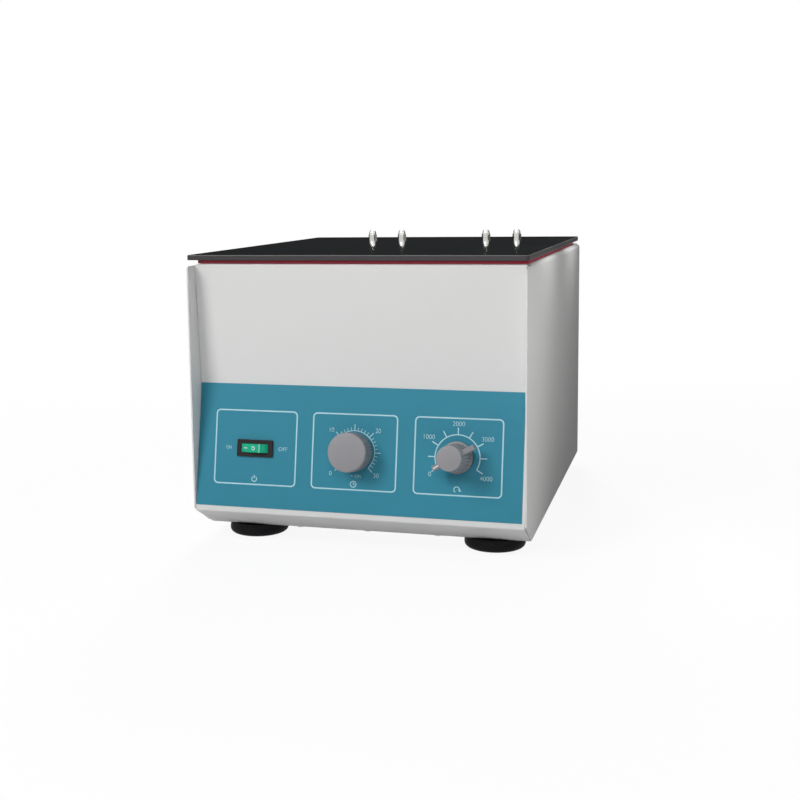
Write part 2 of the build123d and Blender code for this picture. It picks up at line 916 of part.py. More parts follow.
with BuildPart() as motor_can:
    with BuildSketch(spindle_section):
        with BuildLine():
            Polyline(
                (motor_radius, motor_z),
                (motor_radius, flange_top),
                (motor_collar_radius, flange_top),
                (motor_collar_radius, collar_top),
                (motor_radius, collar_top),
                (motor_radius, motor_top),
                (shaft_hole_radius, motor_top),
                (shaft_hole_radius, motor_top - motor_end_wall),
                (bearing_seat, motor_top - motor_end_wall),
                (bearing_seat, top_bearing_z),
                (bearing_boss, top_bearing_z),
                (bearing_boss, motor_top - motor_end_wall),
                (can_inner, motor_top - motor_end_wall),
                (can_inner, motor_z),
                close=True,
            )
        make_face()
    revolve(axis=spindle_axis)
    cut_holes(
        [Location((x, y, collar_top)) for x, y in collar_screw_places],
        m4[2] + hole_fit,
        motor_collar_height,
    )
    for way in brush_ways:
        with BuildSketch(way):
            Circle(brush_holder_radius + hole_fit)
        extrude(amount=motor_collar_radius, mode=Mode.SUBTRACT)
motor_can.part.label = "motor_can"
export_step(motor_can.part, "parts/motor_can.step")

with BuildPart() as collar_screws:
    add_screws(
        [Location((x, y, collar_top)) for x, y in collar_screw_places],
        m4,
        motor_collar_height + flange_plate + screw_tail,
    )
collar_screws.part.label = "collar_screws"
export_step(collar_screws.part, "parts/collar_screws.step")

with BuildPart() as motor_end_bell:
    with BuildSketch(spindle_section):
        with BuildLine():
            Polyline(
                (0, motor_z),
                (can_inner - press_fit, motor_z),
                (can_inner - press_fit, motor_z + motor_wall),
                (bearing_boss, motor_z + motor_wall),
                (bearing_boss, low_bearing_z + bearing_height),
                (bearing_seat, low_bearing_z + bearing_height),
                (bearing_seat, low_bearing_z),
                (shaft_hole_radius, low_bearing_z),
                (shaft_hole_radius, motor_z + motor_wall),
                (0, motor_z + motor_wall),
                close=True,
            )
        make_face()
    revolve(axis=spindle_axis)
motor_end_bell.part.label = "motor_end_bell"
export_step(motor_end_bell.part, "parts/motor_end_bell.step")

with BuildPart() as bearings:
    with BuildSketch(
        Plane((0, chamber_y, low_bearing_z)),
        Plane((0, chamber_y, top_bearing_z)),
    ):
        Circle(bearing_radius)
        Circle(spindle_radius + running_fit, mode=Mode.SUBTRACT)
    extrude(amount=bearing_height)
bearings.part.label = "bearings"
export_step(bearings.part, "parts/bearings.step")

with BuildPart() as stator:
    with BuildSketch(Plane((0, chamber_y, stator_z))):
        Circle(can_inner - press_fit)
        Circle(stator_bore, mode=Mode.SUBTRACT)
    extrude(amount=stator_height)
stator.part.label = "stator"
export_step(stator.part, "parts/stator.step")

with BuildPart() as brush_holders:
    for way in brush_ways:
        with BuildSketch(way.offset(brush_face + brush_holder_setback)):
            Circle(brush_holder_radius)
            Rectangle(brush_side + 2 * brush_fit, brush_side + 2 * brush_fit, mode=Mode.SUBTRACT)
        extrude(amount=brush_cap_x - brush_face - brush_holder_setback)
        with BuildSketch(way.offset(brush_cap_x)):
            Circle(brush_cap_radius)
        extrude(amount=brush_cap_thickness)
brush_holders.part.label = "brush_holders"
export_step(brush_holders.part, "parts/brush_holders.step")

with BuildPart() as carbon_brushes:
    for way in brush_ways:
        with BuildSketch(way.offset(brush_face)):
            Rectangle(brush_side, brush_side)
        extrude(amount=motor_radius - brush_face)
carbon_brushes.part.label = "carbon_brushes"
export_step(carbon_brushes.part, "parts/carbon_brushes.step")

# Rubber boot round the spindle, gripping the bowl's floor
with BuildPart() as spindle_boot:
    bowl_underside = bowl_floor_z - bowl_wall
    boot_bore = spindle_collar_radius + boot_clearance
    boot_radius = bowl_hole_radius + boot_lip
    with BuildSketch(spindle_section):
        with BuildLine():
            Polyline(
                (boot_bore, bowl_underside - boot_lip),
                (boot_radius, bowl_underside - boot_lip),
                (boot_radius, bowl_underside),
                (bowl_hole_radius - press_fit, bowl_underside),
                (bowl_hole_radius - press_fit, bowl_floor_z),
                (boot_radius, bowl_floor_z),
                (bowl_hole_radius, bowl_floor_z + boot_lip),
                (boot_bore, bowl_floor_z + boot_lip),
                close=True,
            )
        make_face()
    revolve(axis=spindle_axis)
spindle_boot.part.label = "spindle_boot"
export_step(spindle_boot.part, "parts/spindle_boot.step")

# ---------------------------------------------------------------------------
# What the motor turns
# ---------------------------------------------------------------------------

with BuildPart() as spindle:
    with Locations((0, chamber_y, low_bearing_z)):
        Cylinder(spindle_radius, hub_top_z - low_bearing_z, align=above)
    with Locations((0, chamber_y, rotor_bottom_z)):
        Cylinder(spindle_collar_radius, spindle_collar_height, align=below)
    with Locations((0, chamber_y, hub_top_z)):
        Cylinder(spindle_thread_radius, spindle_thread_length, align=above)
spindle.part.label = "spindle"
export_step(spindle.part, "parts/spindle.step")

with BuildPart() as armature:
    with BuildSketch(Plane((0, chamber_y, armature_z))):
        Circle(stator_bore - armature_gap)
        Circle(spindle_radius + press_fit, mode=Mode.SUBTRACT)
        with PolarLocations(stator_bore - armature_gap, armature_slots):
            Circle(armature_slot_radius, mode=Mode.SUBTRACT)
    extrude(amount=armature_height)
armature.part.label = "armature"
export_step(armature.part, "parts/armature.step")

with BuildPart() as commutator:
    with BuildSketch(Plane((0, chamber_y, commutator_z))):
        Circle(commutator_radius)
        Circle(spindle_radius + press_fit, mode=Mode.SUBTRACT)
    extrude(amount=commutator_height)
commutator.part.label = "commutator"
export_step(commutator.part, "parts/commutator.step")

with BuildPart() as rotor_head:
    rim_point = along_tube(rotor_rim, 0)
    skirt_point = along_tube(rotor_rim, pocket_depth + rotor_floor)
    with BuildSketch(spindle_section) as rotor_outline:
        with BuildLine():
            Polyline(
                (spindle_radius + press_fit, rotor_bottom_z),
                (spindle_radius + press_fit, hub_top_z),
                (rotor_hub_radius, hub_top_z),
                rim_point,
                skirt_point,
                (skirt_point[0], rotor_bottom_z),
                close=True,
            )
        make_face()
        fillet(rotor_outline.vertices().sort_by_distance(rim_point)[0], rotor_rim_round)
        fillet(rotor_outline.vertices().sort_by_distance(skirt_point)[0], rotor_skirt_round)
    revolve(axis=spindle_axis)
    with Locations(*pocket_places):
        Cylinder(pocket_radius, pocket_depth, align=below, mode=Mode.SUBTRACT)
        # flat seat for a sleeve's flange in the sloping face
        Cylinder(
            sleeve_flange_radius + sleeve_fit,
            2 * sleeve_flange,
            align=above,
            mode=Mode.SUBTRACT,
        )
rotor_head.part.label = "rotor_head"
export_step(rotor_head.part, "parts/rotor_head.step")

with BuildPart() as tube_sleeves:
    sleeve_length = pocket_depth - sleeve_end_gap
    with Locations(*pocket_places):
        Cylinder(sleeve_flange_radius, sleeve_flange, align=above)
        Cylinder(sleeve_radius, sleeve_length, align=below)
    with Locations(*[place * Location((0, 0, sleeve_flange)) for place in pocket_places]):
        Cylinder(
            sleeve_bore,
            sleeve_flange + sleeve_length - sleeve_floor,
            align=below,
            mode=Mode.SUBTRACT,
        )
tube_sleeves.part.label = "tube_sleeves"
export_step(tube_sleeves.part, "parts/tube_sleeves.step")

with BuildPart() as rotor_nut:
    with BuildSketch(Plane((0, chamber_y, hub_top_z))):
        Circle(rotor_nut_radius)
        with PolarLocations(rotor_nut_grip_circle, rotor_nut_grips):
            Circle(rotor_nut_grip_radius, mode=Mode.SUBTRACT)
    extrude(amount=rotor_nut_height)
    chamfer(rotor_nut.faces().sort_by(Axis.Z)[-1].edges(), rotor_nut_edge)
    with Locations((0, chamber_y, hub_top_z)):
        Cylinder(
            spindle_thread_radius + press_fit,
            spindle_thread_length + bolt_tail,
            align=above,
            mode=Mode.SUBTRACT,
        )
rotor_nut.part.label = "rotor_nut"
export_step(rotor_nut.part, "parts/rotor_nut.step")

# ---------------------------------------------------------------------------
# Timer and speed control
# ---------------------------------------------------------------------------

timer_face = shifted(control_face, timer_x, timer_v)
speed_face = shifted(control_face, speed_x, control_v)

with BuildPart() as timer_body:
    with BuildSketch(timer_face.offset(-sheet)):
        Rectangle(timer_body_side, timer_body_side)
    extrude(amount=-timer_body_depth)
    with BuildSketch(timer_face.offset(-sheet)):
        Circle(timer_bush_radius)
    extrude(amount=sheet + control_bush_height)
    with BuildSketch(timer_face.offset(control_bush_height)):
        Circle(control_shaft_radius + running_fit)
    extrude(amount=-timer_bore_depth, mode=Mode.SUBTRACT)
timer_body.part.label = "timer_body"
export_step(timer_body.part, "parts/timer_body.step")

with BuildPart() as speed_pot:
    with BuildSketch(speed_face.offset(-sheet)):
        Circle(pot_radius)
    extrude(amount=-pot_depth)
    with BuildSketch(speed_face.offset(-sheet)):
        Circle(pot_bush_radius)
    extrude(amount=sheet + control_bush_height)
    with BuildSketch(speed_face.offset(control_bush_height)):
        Circle(control_shaft_radius + running_fit)
    extrude(amount=-pot_bore_depth, mode=Mode.SUBTRACT)
speed_pot.part.label = "speed_pot"
export_step(speed_pot.part, "parts/speed_pot.step")

with BuildPart() as panel_nuts:
    for face, flats, bush_radius in (
        (timer_face, timer_nut_flats, timer_bush_radius),
        (speed_face, pot_nut_flats, pot_bush_radius),
    ):
        with BuildSketch(face.offset(label_thickness)):
            RegularPolygon(flats / 2, 6, major_radius=False)
            Circle(bush_radius + press_fit, mode=Mode.SUBTRACT)
        extrude(amount=panel_nut_height)
panel_nuts.part.label = "panel_nuts"
export_step(panel_nuts.part, "parts/panel_nuts.step")

with BuildPart() as timer_shaft:
    shaft_top = timer_knob_front - knob_front_wall
    with BuildSketch(timer_face.offset(shaft_top)):
        Circle(control_shaft_radius)
    extrude(amount=control_bush_height - timer_bore_depth + shaft_end_gap - shaft_top)
timer_shaft.part.label = "timer_shaft"
export_step(timer_shaft.part, "parts/timer_shaft.step")

with BuildPart() as timer_knob:
    with BuildSketch(timer_face.offset(timer_knob_base)):
        Circle(timer_knob_radius)
        with PolarLocations(timer_knob_radius + flute_setback, timer_flutes):
            Circle(flute_radius, mode=Mode.SUBTRACT)
    extrude(amount=timer_knob_front - timer_knob_base - timer_lip)
    with BuildSketch(timer_face.offset(timer_knob_front - timer_lip)):
        Circle(timer_knob_radius)
    extrude(amount=timer_lip)
    fillet(
        timer_knob.faces().sort_by(Axis(timer_face.origin, timer_face.z_dir))[-1].edges(),
        timer_edge_round,
    )
    with BuildSketch(timer_face.offset(timer_knob_base)):
        Circle(control_shaft_radius + press_fit)
    extrude(
        amount=timer_knob_front - timer_knob_base - knob_front_wall + press_fit,
        mode=Mode.SUBTRACT,
    )
timer_knob.part.label = "timer_knob"
export_step(timer_knob.part, "parts/timer_knob.step")

with BuildPart() as speed_shaft:
    shaft_top = speed_knob_front - knob_front_wall
    with BuildSketch(speed_face.offset(shaft_top)):
        Circle(control_shaft_radius)
    extrude(amount=control_bush_height - pot_bore_depth + shaft_end_gap - shaft_top)
speed_shaft.part.label = "speed_shaft"
export_step(speed_shaft.part, "parts/speed_shaft.step")

with BuildPart() as speed_knob:
    body_base = speed_knob_base + speed_skirt_height
    body_height = speed_knob_front - body_base
    with BuildSketch(speed_face.offset(speed_knob_base)):
        Circle(speed_skirt_radius)
    extrude(amount=speed_skirt_height)
    with BuildSketch(speed_face.offset(body_base)):
        Circle(speed_base_radius)
    with BuildSketch(speed_face.offset(speed_knob_front)):
        Circle(speed_front_radius)
    loft()
    # flutes lean in with the body's taper
    taper = degrees(atan2(speed_base_radius - speed_front_radius, body_height))
    flute_places = [
        speed_face.offset(body_base).location
        * Location((0, 0, 0), (0, 0, 360 / speed_flutes * i))
        * Location((speed_base_radius + flute_setback, 0, 0), (0, -taper, 0))
        for i in range(speed_flutes)
    ]
    with Locations(*flute_places):
        Cylinder(
            flute_radius,
            body_height - speed_flute_end,
            align=above,
            mode=Mode.SUBTRACT,
        )
    # a wing on either side, in line with the pointer
    turned = shifted(speed_face, 0, 0, turn=pointer_angle)
    with BuildSketch(Plane(origin=turned.origin, x_dir=turned.x_dir, z_dir=-turned.y_dir)):
        with BuildLine():
            Polyline(
                (-pointer_reach, pointer_low),
                (-pointer_reach, pointer_tip_high),
                (-speed_front_radius, pointer_root_high),
                (speed_front_radius, pointer_root_high),
                (pointer_reach, pointer_tip_high),
                (pointer_reach, pointer_low),
                close=True,
            )
        make_face()
    extrude(amount=pointer_width / 2, both=True)
    with BuildSketch(speed_face.offset(speed_knob_base)):
        Circle(speed_recess_radius)
    extrude(amount=speed_recess_height, mode=Mode.SUBTRACT)
    with BuildSketch(speed_face.offset(speed_knob_base)):
        Circle(control_shaft_radius + press_fit)
    extrude(
        amount=speed_knob_front - speed_knob_base - knob_front_wall + press_fit,
        mode=Mode.SUBTRACT,
    )
speed_knob.part.label = "speed_knob"
export_step(speed_knob.part, "parts/speed_knob.step")

# ---------------------------------------------------------------------------
# Power switch
# ---------------------------------------------------------------------------

switch_face = shifted(control_face, switch_x, control_v, label_thickness)
# Section through the pivot: X along the switch, Y out of the panel
switch_section = Plane(
    origin=switch_face.offset(bezel_proud - rocker_pivot).origin,
    x_dir=switch_face.x_dir,
    z_dir=-switch_face.y_dir,
)

with BuildPart() as switch_body:
    with BuildSketch(switch_face):
        RectangleRounded(bezel_length, bezel_height, bezel_corner)
    extrude(amount=bezel_proud)
    with BuildSketch(switch_face):
        Rectangle(switch_body_length, switch_body_height)
    extrude(amount=-switch_body_depth)
    with BuildSketch(switch_section):
        Circle(rocker_radius + rocker_fit)
    extrude(amount=rocker_width / 2 + rocker_fit, both=True, mode=Mode.SUBTRACT)
    with BuildSketch(switch_section):
        Circle(rocker_pin_radius + running_fit)
    extrude(
        amount=rocker_width / 2 + rocker_pin_length + hole_fit,
        both=True,
        mode=Mode.SUBTRACT,
    )
switch_body.part.label = "switch_body"
export_step(switch_body.part, "parts/switch_body.step")

with BuildPart() as switch_rocker:
    # its left end is pressed, which is "on"
    with BuildSketch(shifted(switch_section, 0, 0, turn=rocker_throw / 2)):
        Circle(rocker_radius)
        with Locations((0, (rocker_chord - rocker_root) / 2)):
            Rectangle(2 * rocker_radius, rocker_chord + rocker_root, mode=Mode.INTERSECT)
    extrude(amount=rocker_width / 2, both=True)
    with BuildSketch(switch_section):
        Circle(rocker_pin_radius)
    extrude(amount=rocker_width / 2 + rocker_pin_length, both=True)
switch_rocker.part.label = "switch_rocker"
export_step(switch_rocker.part, "parts/switch_rocker.step")

# ---------------------------------------------------------------------------
# Control board
# ---------------------------------------------------------------------------

board_y = front_y + board_setback
board_z = base_top + board_height
board_top = board_z + board_thickness

with BuildPart() as control_board:
    with Locations((0, board_y, board_z)):
        Box(board_length, board_width, board_thickness, align=above)
    cut_holes(
        [Location((x, y, board_top)) for x, y in standoff_places],
        standoff_stud_radius + hole_fit,
        board_thickness,
    )
control_board.part.label = "control_board"
export_step(control_board.part, "parts/control_board.step")

with BuildPart() as board_standoffs:
    with Locations(*[(x, y, base_top) for x, y in standoff_places]):
        Cylinder(standoff_radius, board_height, align=above)
        Cylinder(
            standoff_stud_radius,
            board_height + board_thickness + screw_tail,
            align=above,
        )
board_standoffs.part.label = "board_standoffs"
export_step(board_standoffs.part, "parts/board_standoffs.step")

with BuildPart() as filter_capacitors:
    with Locations((-board_length / 4, board_y, board_top)):
        with GridLocations(0, capacitor_pitch, 1, 2):
            Box(*capacitor_size, align=above)
filter_capacitors.part.label = "filter_capacitors"
export_step(filter_capacitors.part, "parts/filter_capacitors.step")

with BuildPart() as heat_sink:
    with Locations((board_length / 4, board_y, board_top)):
        Box(sink_fin_pitch * (sink_fins - 1) + sink_fin, sink_width, sink_floor, align=above)
        with GridLocations(sink_fin_pitch, 0, sink_fins, 1):
            Box(sink_fin, sink_width, sink_height, align=above)
heat_sink.part.label = "heat_sink"
export_step(heat_sink.part, "parts/heat_sink.step")

# ---------------------------------------------------------------------------
# Power inlet and fuse
# ---------------------------------------------------------------------------

inlet_face = shifted(rear_face, -inlet_x, base_top + inlet_height)
fuse_face = shifted(rear_face, -fuse_x, base_top + inlet_height)
inlet_floor = inlet_face.offset(inlet_proud - inlet_socket_depth)
pin_points = [
    (-inlet_pin_pitch, 0),
    (inlet_pin_pitch, 0),
    (0, inlet_earth_rise),
]

with BuildPart() as power_inlet:
    with BuildSketch(inlet_face):
        RectangleRounded(inlet_length, inlet_width, inlet_corner)
    extrude(amount=inlet_proud)
    with BuildSketch(inlet_face):
        Rectangle(inlet_body_length, inlet_body_width)
    extrude(amount=-inlet_body_depth)
    with BuildSketch(inlet_floor) as socket_outline:
        Rectangle(inlet_socket_length, inlet_socket_width)
        chamfer(socket_outline.vertices().group_by(Axis.Y)[-1], inlet_socket_bevel)
    extrude(amount=inlet_socket_depth, mode=Mode.SUBTRACT)
    with BuildSketch(inlet_floor):
        with Locations(*pin_points):
            Rectangle(inlet_pin_thickness + press_fit, inlet_pin_width + press_fit)
    extrude(amount=-inlet_pin_root, mode=Mode.SUBTRACT)
power_inlet.part.label = "power_inlet"
export_step(power_inlet.part, "parts/power_inlet.step")

with BuildPart() as inlet_pins:
    with BuildSketch(inlet_floor.offset(-inlet_pin_root)):
        with Locations(*pin_points):
            Rectangle(inlet_pin_thickness, inlet_pin_width)
    extrude(amount=inlet_pin_root + inlet_pin_length)
inlet_pins.part.label = "inlet_pins"
export_step(inlet_pins.part, "parts/inlet_pins.step")

with BuildPart() as fuse_holder:
    with BuildSketch(fuse_face):
        Circle(fuse_cap_radius)
    extrude(amount=fuse_flange)
    with BuildSketch(fuse_face):
        Circle(fuse_radius)
    extrude(amount=-fuse_depth)
    with BuildSketch(fuse_face.offset(fuse_flange)):
        Circle(fuse_radius - fuse_wall)
    extrude(amount=fuse_wall - fuse_flange - fuse_depth, mode=Mode.SUBTRACT)
fuse_holder.part.label = "fuse_holder"
export_step(fuse_holder.part, "parts/fuse_holder.step")

with BuildPart() as fuse_cap:
    with BuildSketch(fuse_face.offset(fuse_flange)):
        Circle(fuse_cap_radius)
    extrude(amount=fuse_cap_proud - fuse_flange)
    with BuildSketch(fuse_face.offset(fuse_flange)):
        Circle(fuse_radius - fuse_wall - hole_fit)
    extrude(amount=-fuse_cap_stem)
    with BuildSketch(fuse_face.offset(fuse_cap_proud)):
        Rectangle(fuse_slot_length, fuse_slot_width)
    extrude(amount=-fuse_slot_depth, mode=Mode.SUBTRACT)
fuse_cap.part.label = "fuse_cap"
export_step(fuse_cap.part, "parts/fuse_cap.step")

# ---------------------------------------------------------------------------
# Lid
# ---------------------------------------------------------------------------

with BuildPart() as lid_plate:
    with BuildSketch(Plane.XY.offset(lid_bottom)):
        with Locations((lid_shift, (lid_front_y + lid_rear_y) / 2)):
            RectangleRounded(lid_width, lid_rear_y - lid_front_y, lid_corner)
        with Locations(*lid_screw_places):
            Circle(m5_flat[2] + hole_fit, mode=Mode.SUBTRACT)
    extrude(amount=lid_thickness)
    chamfer(lid_plate.faces().sort_by(Axis.Z)[-1].outer_wire().edges(), edge_round)
lid_plate.part.label = "lid_plate"
export_step(lid_plate.part, "parts/lid_plate.step")

with BuildPart() as lid_seal:
    seal_y = front_y + seal_front_setback + seal_length_y / 2
    with BuildSketch(Plane((0, seal_y, deck_z + seal_clearance))):
        RectangleRounded(seal_length_x, seal_length_y, seal_corner)
        RectangleRounded(
            seal_length_x - 2 * seal_width,
            seal_length_y - 2 * seal_width,
            seal_corner / 2,
            mode=Mode.SUBTRACT,
        )
    extrude(amount=lid_gap - seal_clearance)
lid_seal.part.label = "lid_seal"
export_step(lid_seal.part, "parts/lid_seal.step")

# Butt hinges: odd knuckles belong to the leaf on the rear panel, even ones to the lid's
knuckle_pitch = hinge_width / hinge_segments
knuckle_length = knuckle_pitch - knuckle_gap
hung = (Align.CENTER, Align.MIN, Align.MAX)


def knuckle_middles(first):
    """X of every second knuckle of both hinges, starting at the first or the second one."""
    end = (hinge_segments - 1) / 2
    return [
        middle + (i - end) * knuckle_pitch
        for middle in (-hinge_x, hinge_x)
        for i in range(first, hinge_segments, 2)
    ]


def add_knuckles(middles, bore):
    """Rolled knuckles round the hinge line."""
    with Locations(*[(x, hinge_y, hinge_z) for x in middles]):
        Cylinder(knuckle_radius, knuckle_length, rotation=(0, 90, 0))
        Cylinder(bore, knuckle_length, rotation=(0, 90, 0), mode=Mode.SUBTRACT)


with BuildPart() as hinge_leaves_rear:
    leaf_top = hinge_z - knuckle_radius
    with Locations((-hinge_x, rear_y, leaf_top), (hinge_x, rear_y, leaf_top)):
        Box(hinge_width, hinge_leaf, hinge_drop - knuckle_radius, align=hung)
    with Locations(*[(x, rear_y, hinge_z) for x in knuckle_middles(0)]):
        Box(knuckle_length, hinge_leaf, knuckle_radius, align=hung)
    add_knuckles(knuckle_middles(0), pin_radius + press_fit)
    cut_holes(
        places_on(rear_face.offset(hinge_leaf), [(-x, z) for x, z in hinge_screw_places]),
        m3[2] + hole_fit,
        hinge_leaf,
    )
hinge_leaves_rear.part.label = "hinge_leaves_rear"
export_step(hinge_leaves_rear.part, "parts/hinge_leaves_rear.step")

with BuildPart() as hinge_screws:
    add_screws(
        places_on(rear_face.offset(hinge_leaf), [(-x, z) for x, z in hinge_screw_places]),
        m3,
        hinge_leaf + sheet + screw_tail,
    )
hinge_screws.part.label = "hinge_screws"
export_step(hinge_screws.part, "parts/hinge_screws.step")

with BuildPart() as hinge_pins:
    with Locations((-hinge_x, hinge_y, hinge_z), (hinge_x, hinge_y, hinge_z)):
        Cylinder(pin_radius, hinge_width, rotation=(0, 90, 0))
    pin_ends = [
        middle + side * (hinge_width + pin_head_length) / 2
        for middle in (-hinge_x, hinge_x)
        for side in (-1, 1)
    ]
    with Locations(*[(x, hinge_y, hinge_z) for x in pin_ends]):
        Cylinder(pin_head_radius, pin_head_length, rotation=(0, 90, 0))
hinge_pins.part.label = "hinge_pins"
export_step(hinge_pins.part, "parts/hinge_pins.step")

with BuildPart() as hinge_leaves_lid:
    leaf_front = lid_screw_y - hinge_reach
    leaf_rear = rear_y - 2 * seat_fit
    with Locations((-hinge_x, leaf_front, lid_bottom), (hinge_x, leaf_front, lid_bottom)):
        Box(hinge_width, leaf_rear - leaf_front, hinge_leaf, align=hung)
    with Locations(*[(x, leaf_rear, lid_bottom) for x in knuckle_middles(1)]):
        Box(knuckle_length, hinge_y - leaf_rear, hinge_leaf, align=hung)
    add_knuckles(knuckle_middles(1), pin_radius + running_fit)
    cut_holes(
        [Location((x, y, lid_bottom)) for x, y in lid_screw_places],
        m5_flat[2] + hole_fit,
        hinge_leaf,
    )
hinge_leaves_lid.part.label = "hinge_leaves_lid"
export_step(hinge_leaves_lid.part, "parts/hinge_leaves_lid.step")

with BuildPart() as lid_screws:
    add_screws(
        from_below(lid_screw_places, lid_bottom - hinge_leaf),
        m5_flat,
        hinge_leaf + lid_thickness + cap_nut_thread_depth - bolt_tail,
    )
lid_screws.part.label = "lid_screws"
export_step(lid_screws.part, "parts/lid_screws.step")

with BuildPart() as cap_nuts:
    with BuildSketch(*[Plane((x, y, lid_top)) for x, y in lid_screw_places]):
        RegularPolygon(cap_nut_flats / 2, 6, major_radius=False)
    extrude(amount=cap_nut_hex_height)
    with BuildSketch(Plane.XZ):
        with BuildLine():
            crown_start = (cap_nut_dome_radius, cap_nut_height - cap_nut_dome_radius)
            RadiusArc(crown_start, (0, cap_nut_height), -cap_nut_dome_radius)
            Polyline((0, cap_nut_height), (0, 0), (cap_nut_dome_radius, 0), crown_start)
        make_face()
    dome = revolve(axis=Axis.Z, mode=Mode.PRIVATE)
    with Locations(*[(x, y, lid_top) for x, y in lid_screw_places]):
        add(dome)
        Cylinder(
            m5_flat[2] + press_fit,
            cap_nut_thread_depth,
            align=above,
            mode=Mode.SUBTRACT,
        )
cap_nuts.part.label = "cap_nuts"
export_step(cap_nuts.part, "parts/cap_nuts.step")
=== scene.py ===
# %% [markdown]
# # A bench centrifuge, dressed in Blender
#
# The machine is a folded sheet-metal box with a teal printed label, two knobs, a power rocker and
# a glossy black lid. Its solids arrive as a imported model, and every one of them keeps its place.
# This file gives each solid a finish that is worked out by shader nodes, and models the pieces
# that need more than a solid can say: the print, the knobs, the rocker and the seal.

import json
import math

import bpy
import bmesh
from mathutils import Matrix, Vector


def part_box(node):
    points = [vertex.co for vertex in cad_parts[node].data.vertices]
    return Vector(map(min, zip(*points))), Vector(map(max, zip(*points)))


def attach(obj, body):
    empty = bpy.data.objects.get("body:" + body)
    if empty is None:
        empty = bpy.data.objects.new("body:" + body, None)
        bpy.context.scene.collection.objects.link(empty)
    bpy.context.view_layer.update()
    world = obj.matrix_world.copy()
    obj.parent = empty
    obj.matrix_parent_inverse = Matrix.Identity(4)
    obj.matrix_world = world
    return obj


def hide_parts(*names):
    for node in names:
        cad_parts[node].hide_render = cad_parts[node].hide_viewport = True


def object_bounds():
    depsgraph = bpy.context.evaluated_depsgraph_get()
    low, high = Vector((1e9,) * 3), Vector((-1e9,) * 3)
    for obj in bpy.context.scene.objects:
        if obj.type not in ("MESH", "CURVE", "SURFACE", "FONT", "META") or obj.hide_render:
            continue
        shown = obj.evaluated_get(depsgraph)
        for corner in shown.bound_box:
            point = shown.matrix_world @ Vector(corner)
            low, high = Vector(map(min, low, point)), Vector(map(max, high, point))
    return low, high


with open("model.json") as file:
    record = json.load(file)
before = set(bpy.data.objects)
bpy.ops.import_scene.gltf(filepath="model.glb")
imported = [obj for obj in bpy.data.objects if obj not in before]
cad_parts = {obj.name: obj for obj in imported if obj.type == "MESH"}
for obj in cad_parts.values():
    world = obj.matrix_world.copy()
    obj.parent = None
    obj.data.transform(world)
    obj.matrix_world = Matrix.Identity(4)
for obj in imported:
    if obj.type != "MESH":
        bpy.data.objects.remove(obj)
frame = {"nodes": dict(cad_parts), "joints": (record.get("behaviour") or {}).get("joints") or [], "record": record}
cad_low, cad_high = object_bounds()
nodes = frame["nodes"]
MM = 0.001
print("nodes", len(nodes), "box", [round(v, 4) for v in (*cad_low, *cad_high)])

# %% [markdown]
# Nothing may stay selected from the import, because an operator acts on all that is selected.
# These few helpers are used by every piece: one picks an object alone, one runs an operator in
# edit mode, and one fixes a finished piece's place into its mesh.


# %% Small helpers for modelling
def only(obj):
    """Select this object and nothing else."""
    bpy.ops.object.select_all(action="DESELECT")
    obj.select_set(True)
    bpy.context.view_layer.objects.active = obj
    return obj


def newest(name):
    """Name the object that an operator has just added."""
    obj = bpy.context.view_layer.objects.active
    obj.name = name
    obj.data.name = name
    return obj


def choose(obj, test, kind="face"):
    """In edit mode, select the faces or edges whose middle and normal pass the test."""
    mesh = bmesh.from_edit_mesh(obj.data)
    bpy.context.tool_settings.mesh_select_mode = (False, kind == "edge", kind == "face")
    for part in (*mesh.verts, *mesh.edges, *mesh.faces):
        part.select = False
    mesh.select_flush(False)
    found = 0
    for part in mesh.faces if kind == "face" else mesh.edges:
        if kind == "face":
            middle, normal = part.calc_center_median(), part.normal
        else:
            middle = (part.verts[0].co + part.verts[1].co) / 2
            normal = (part.verts[1].co - part.verts[0].co).normalized()
        if test(middle, normal):
            part.select_set(True)
            found += 1
    mesh.select_flush_mode()
    bmesh.update_edit_mesh(obj.data)
    return found


def modify(obj, kind, **settings):
    """Add a modifier and apply it."""
    only(obj)
    modifier = obj.modifiers.new(kind.title(), kind)
    for name, value in settings.items():
        setattr(modifier, name, value)
    bpy.ops.object.modifier_apply(modifier=modifier.name)


def settle(obj, place):
    """Move a mesh that was drawn in millimetres into its place, and leave its object at the origin."""
    scale = Matrix.Diagonal((MM, MM, MM, 1))
    obj.data.transform(place @ scale @ obj.matrix_basis)
    obj.matrix_basis = Matrix.Identity(4)
    return obj


def joined(name, parts):
    """One object out of several."""
    bpy.ops.object.select_all(action="DESELECT")
    for part in parts:
        part.select_set(True)
    bpy.context.view_layer.objects.active = parts[0]
    if len(parts) > 1:
        bpy.ops.object.join()
    return newest(name)


bpy.ops.object.select_all(action="DESELECT")

# %% [markdown]
# ## Camera
#
# The machine is seen from its right, a little from above, from about a metre away. The lens and
# the place were worked out from the corners of the housing. The picture's middle is not where
# the camera points, so the film is shifted by a few hundredths of its width.

# %% Camera
IMAGE_SIDE = 800
FOCAL_PIXELS = 1229.18
CENTRE_PIXEL = (351.77, 357.43)
CAMERA_RIGHT = 273.4 * MM  # from the middle of the housing
CAMERA_AWAY = 929.2 * MM  # in front of the housing
CAMERA_HEIGHT = 281.0 * MM  # above the lower edge of the housing's walls
YAW, PITCH, ROLL = (math.radians(a) for a in (16.38, 7.78, -0.88))

housing_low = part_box("housing_shell")[0]
forward = Vector(
    (-math.sin(YAW) * math.cos(PITCH), math.cos(YAW) * math.cos(PITCH), -math.sin(PITCH))
)
level = Vector((math.cos(YAW), math.sin(YAW), 0))
rise = level.cross(forward)
right = math.cos(ROLL) * level + math.sin(ROLL) * rise
up = math.cos(ROLL) * rise - math.sin(ROLL) * level

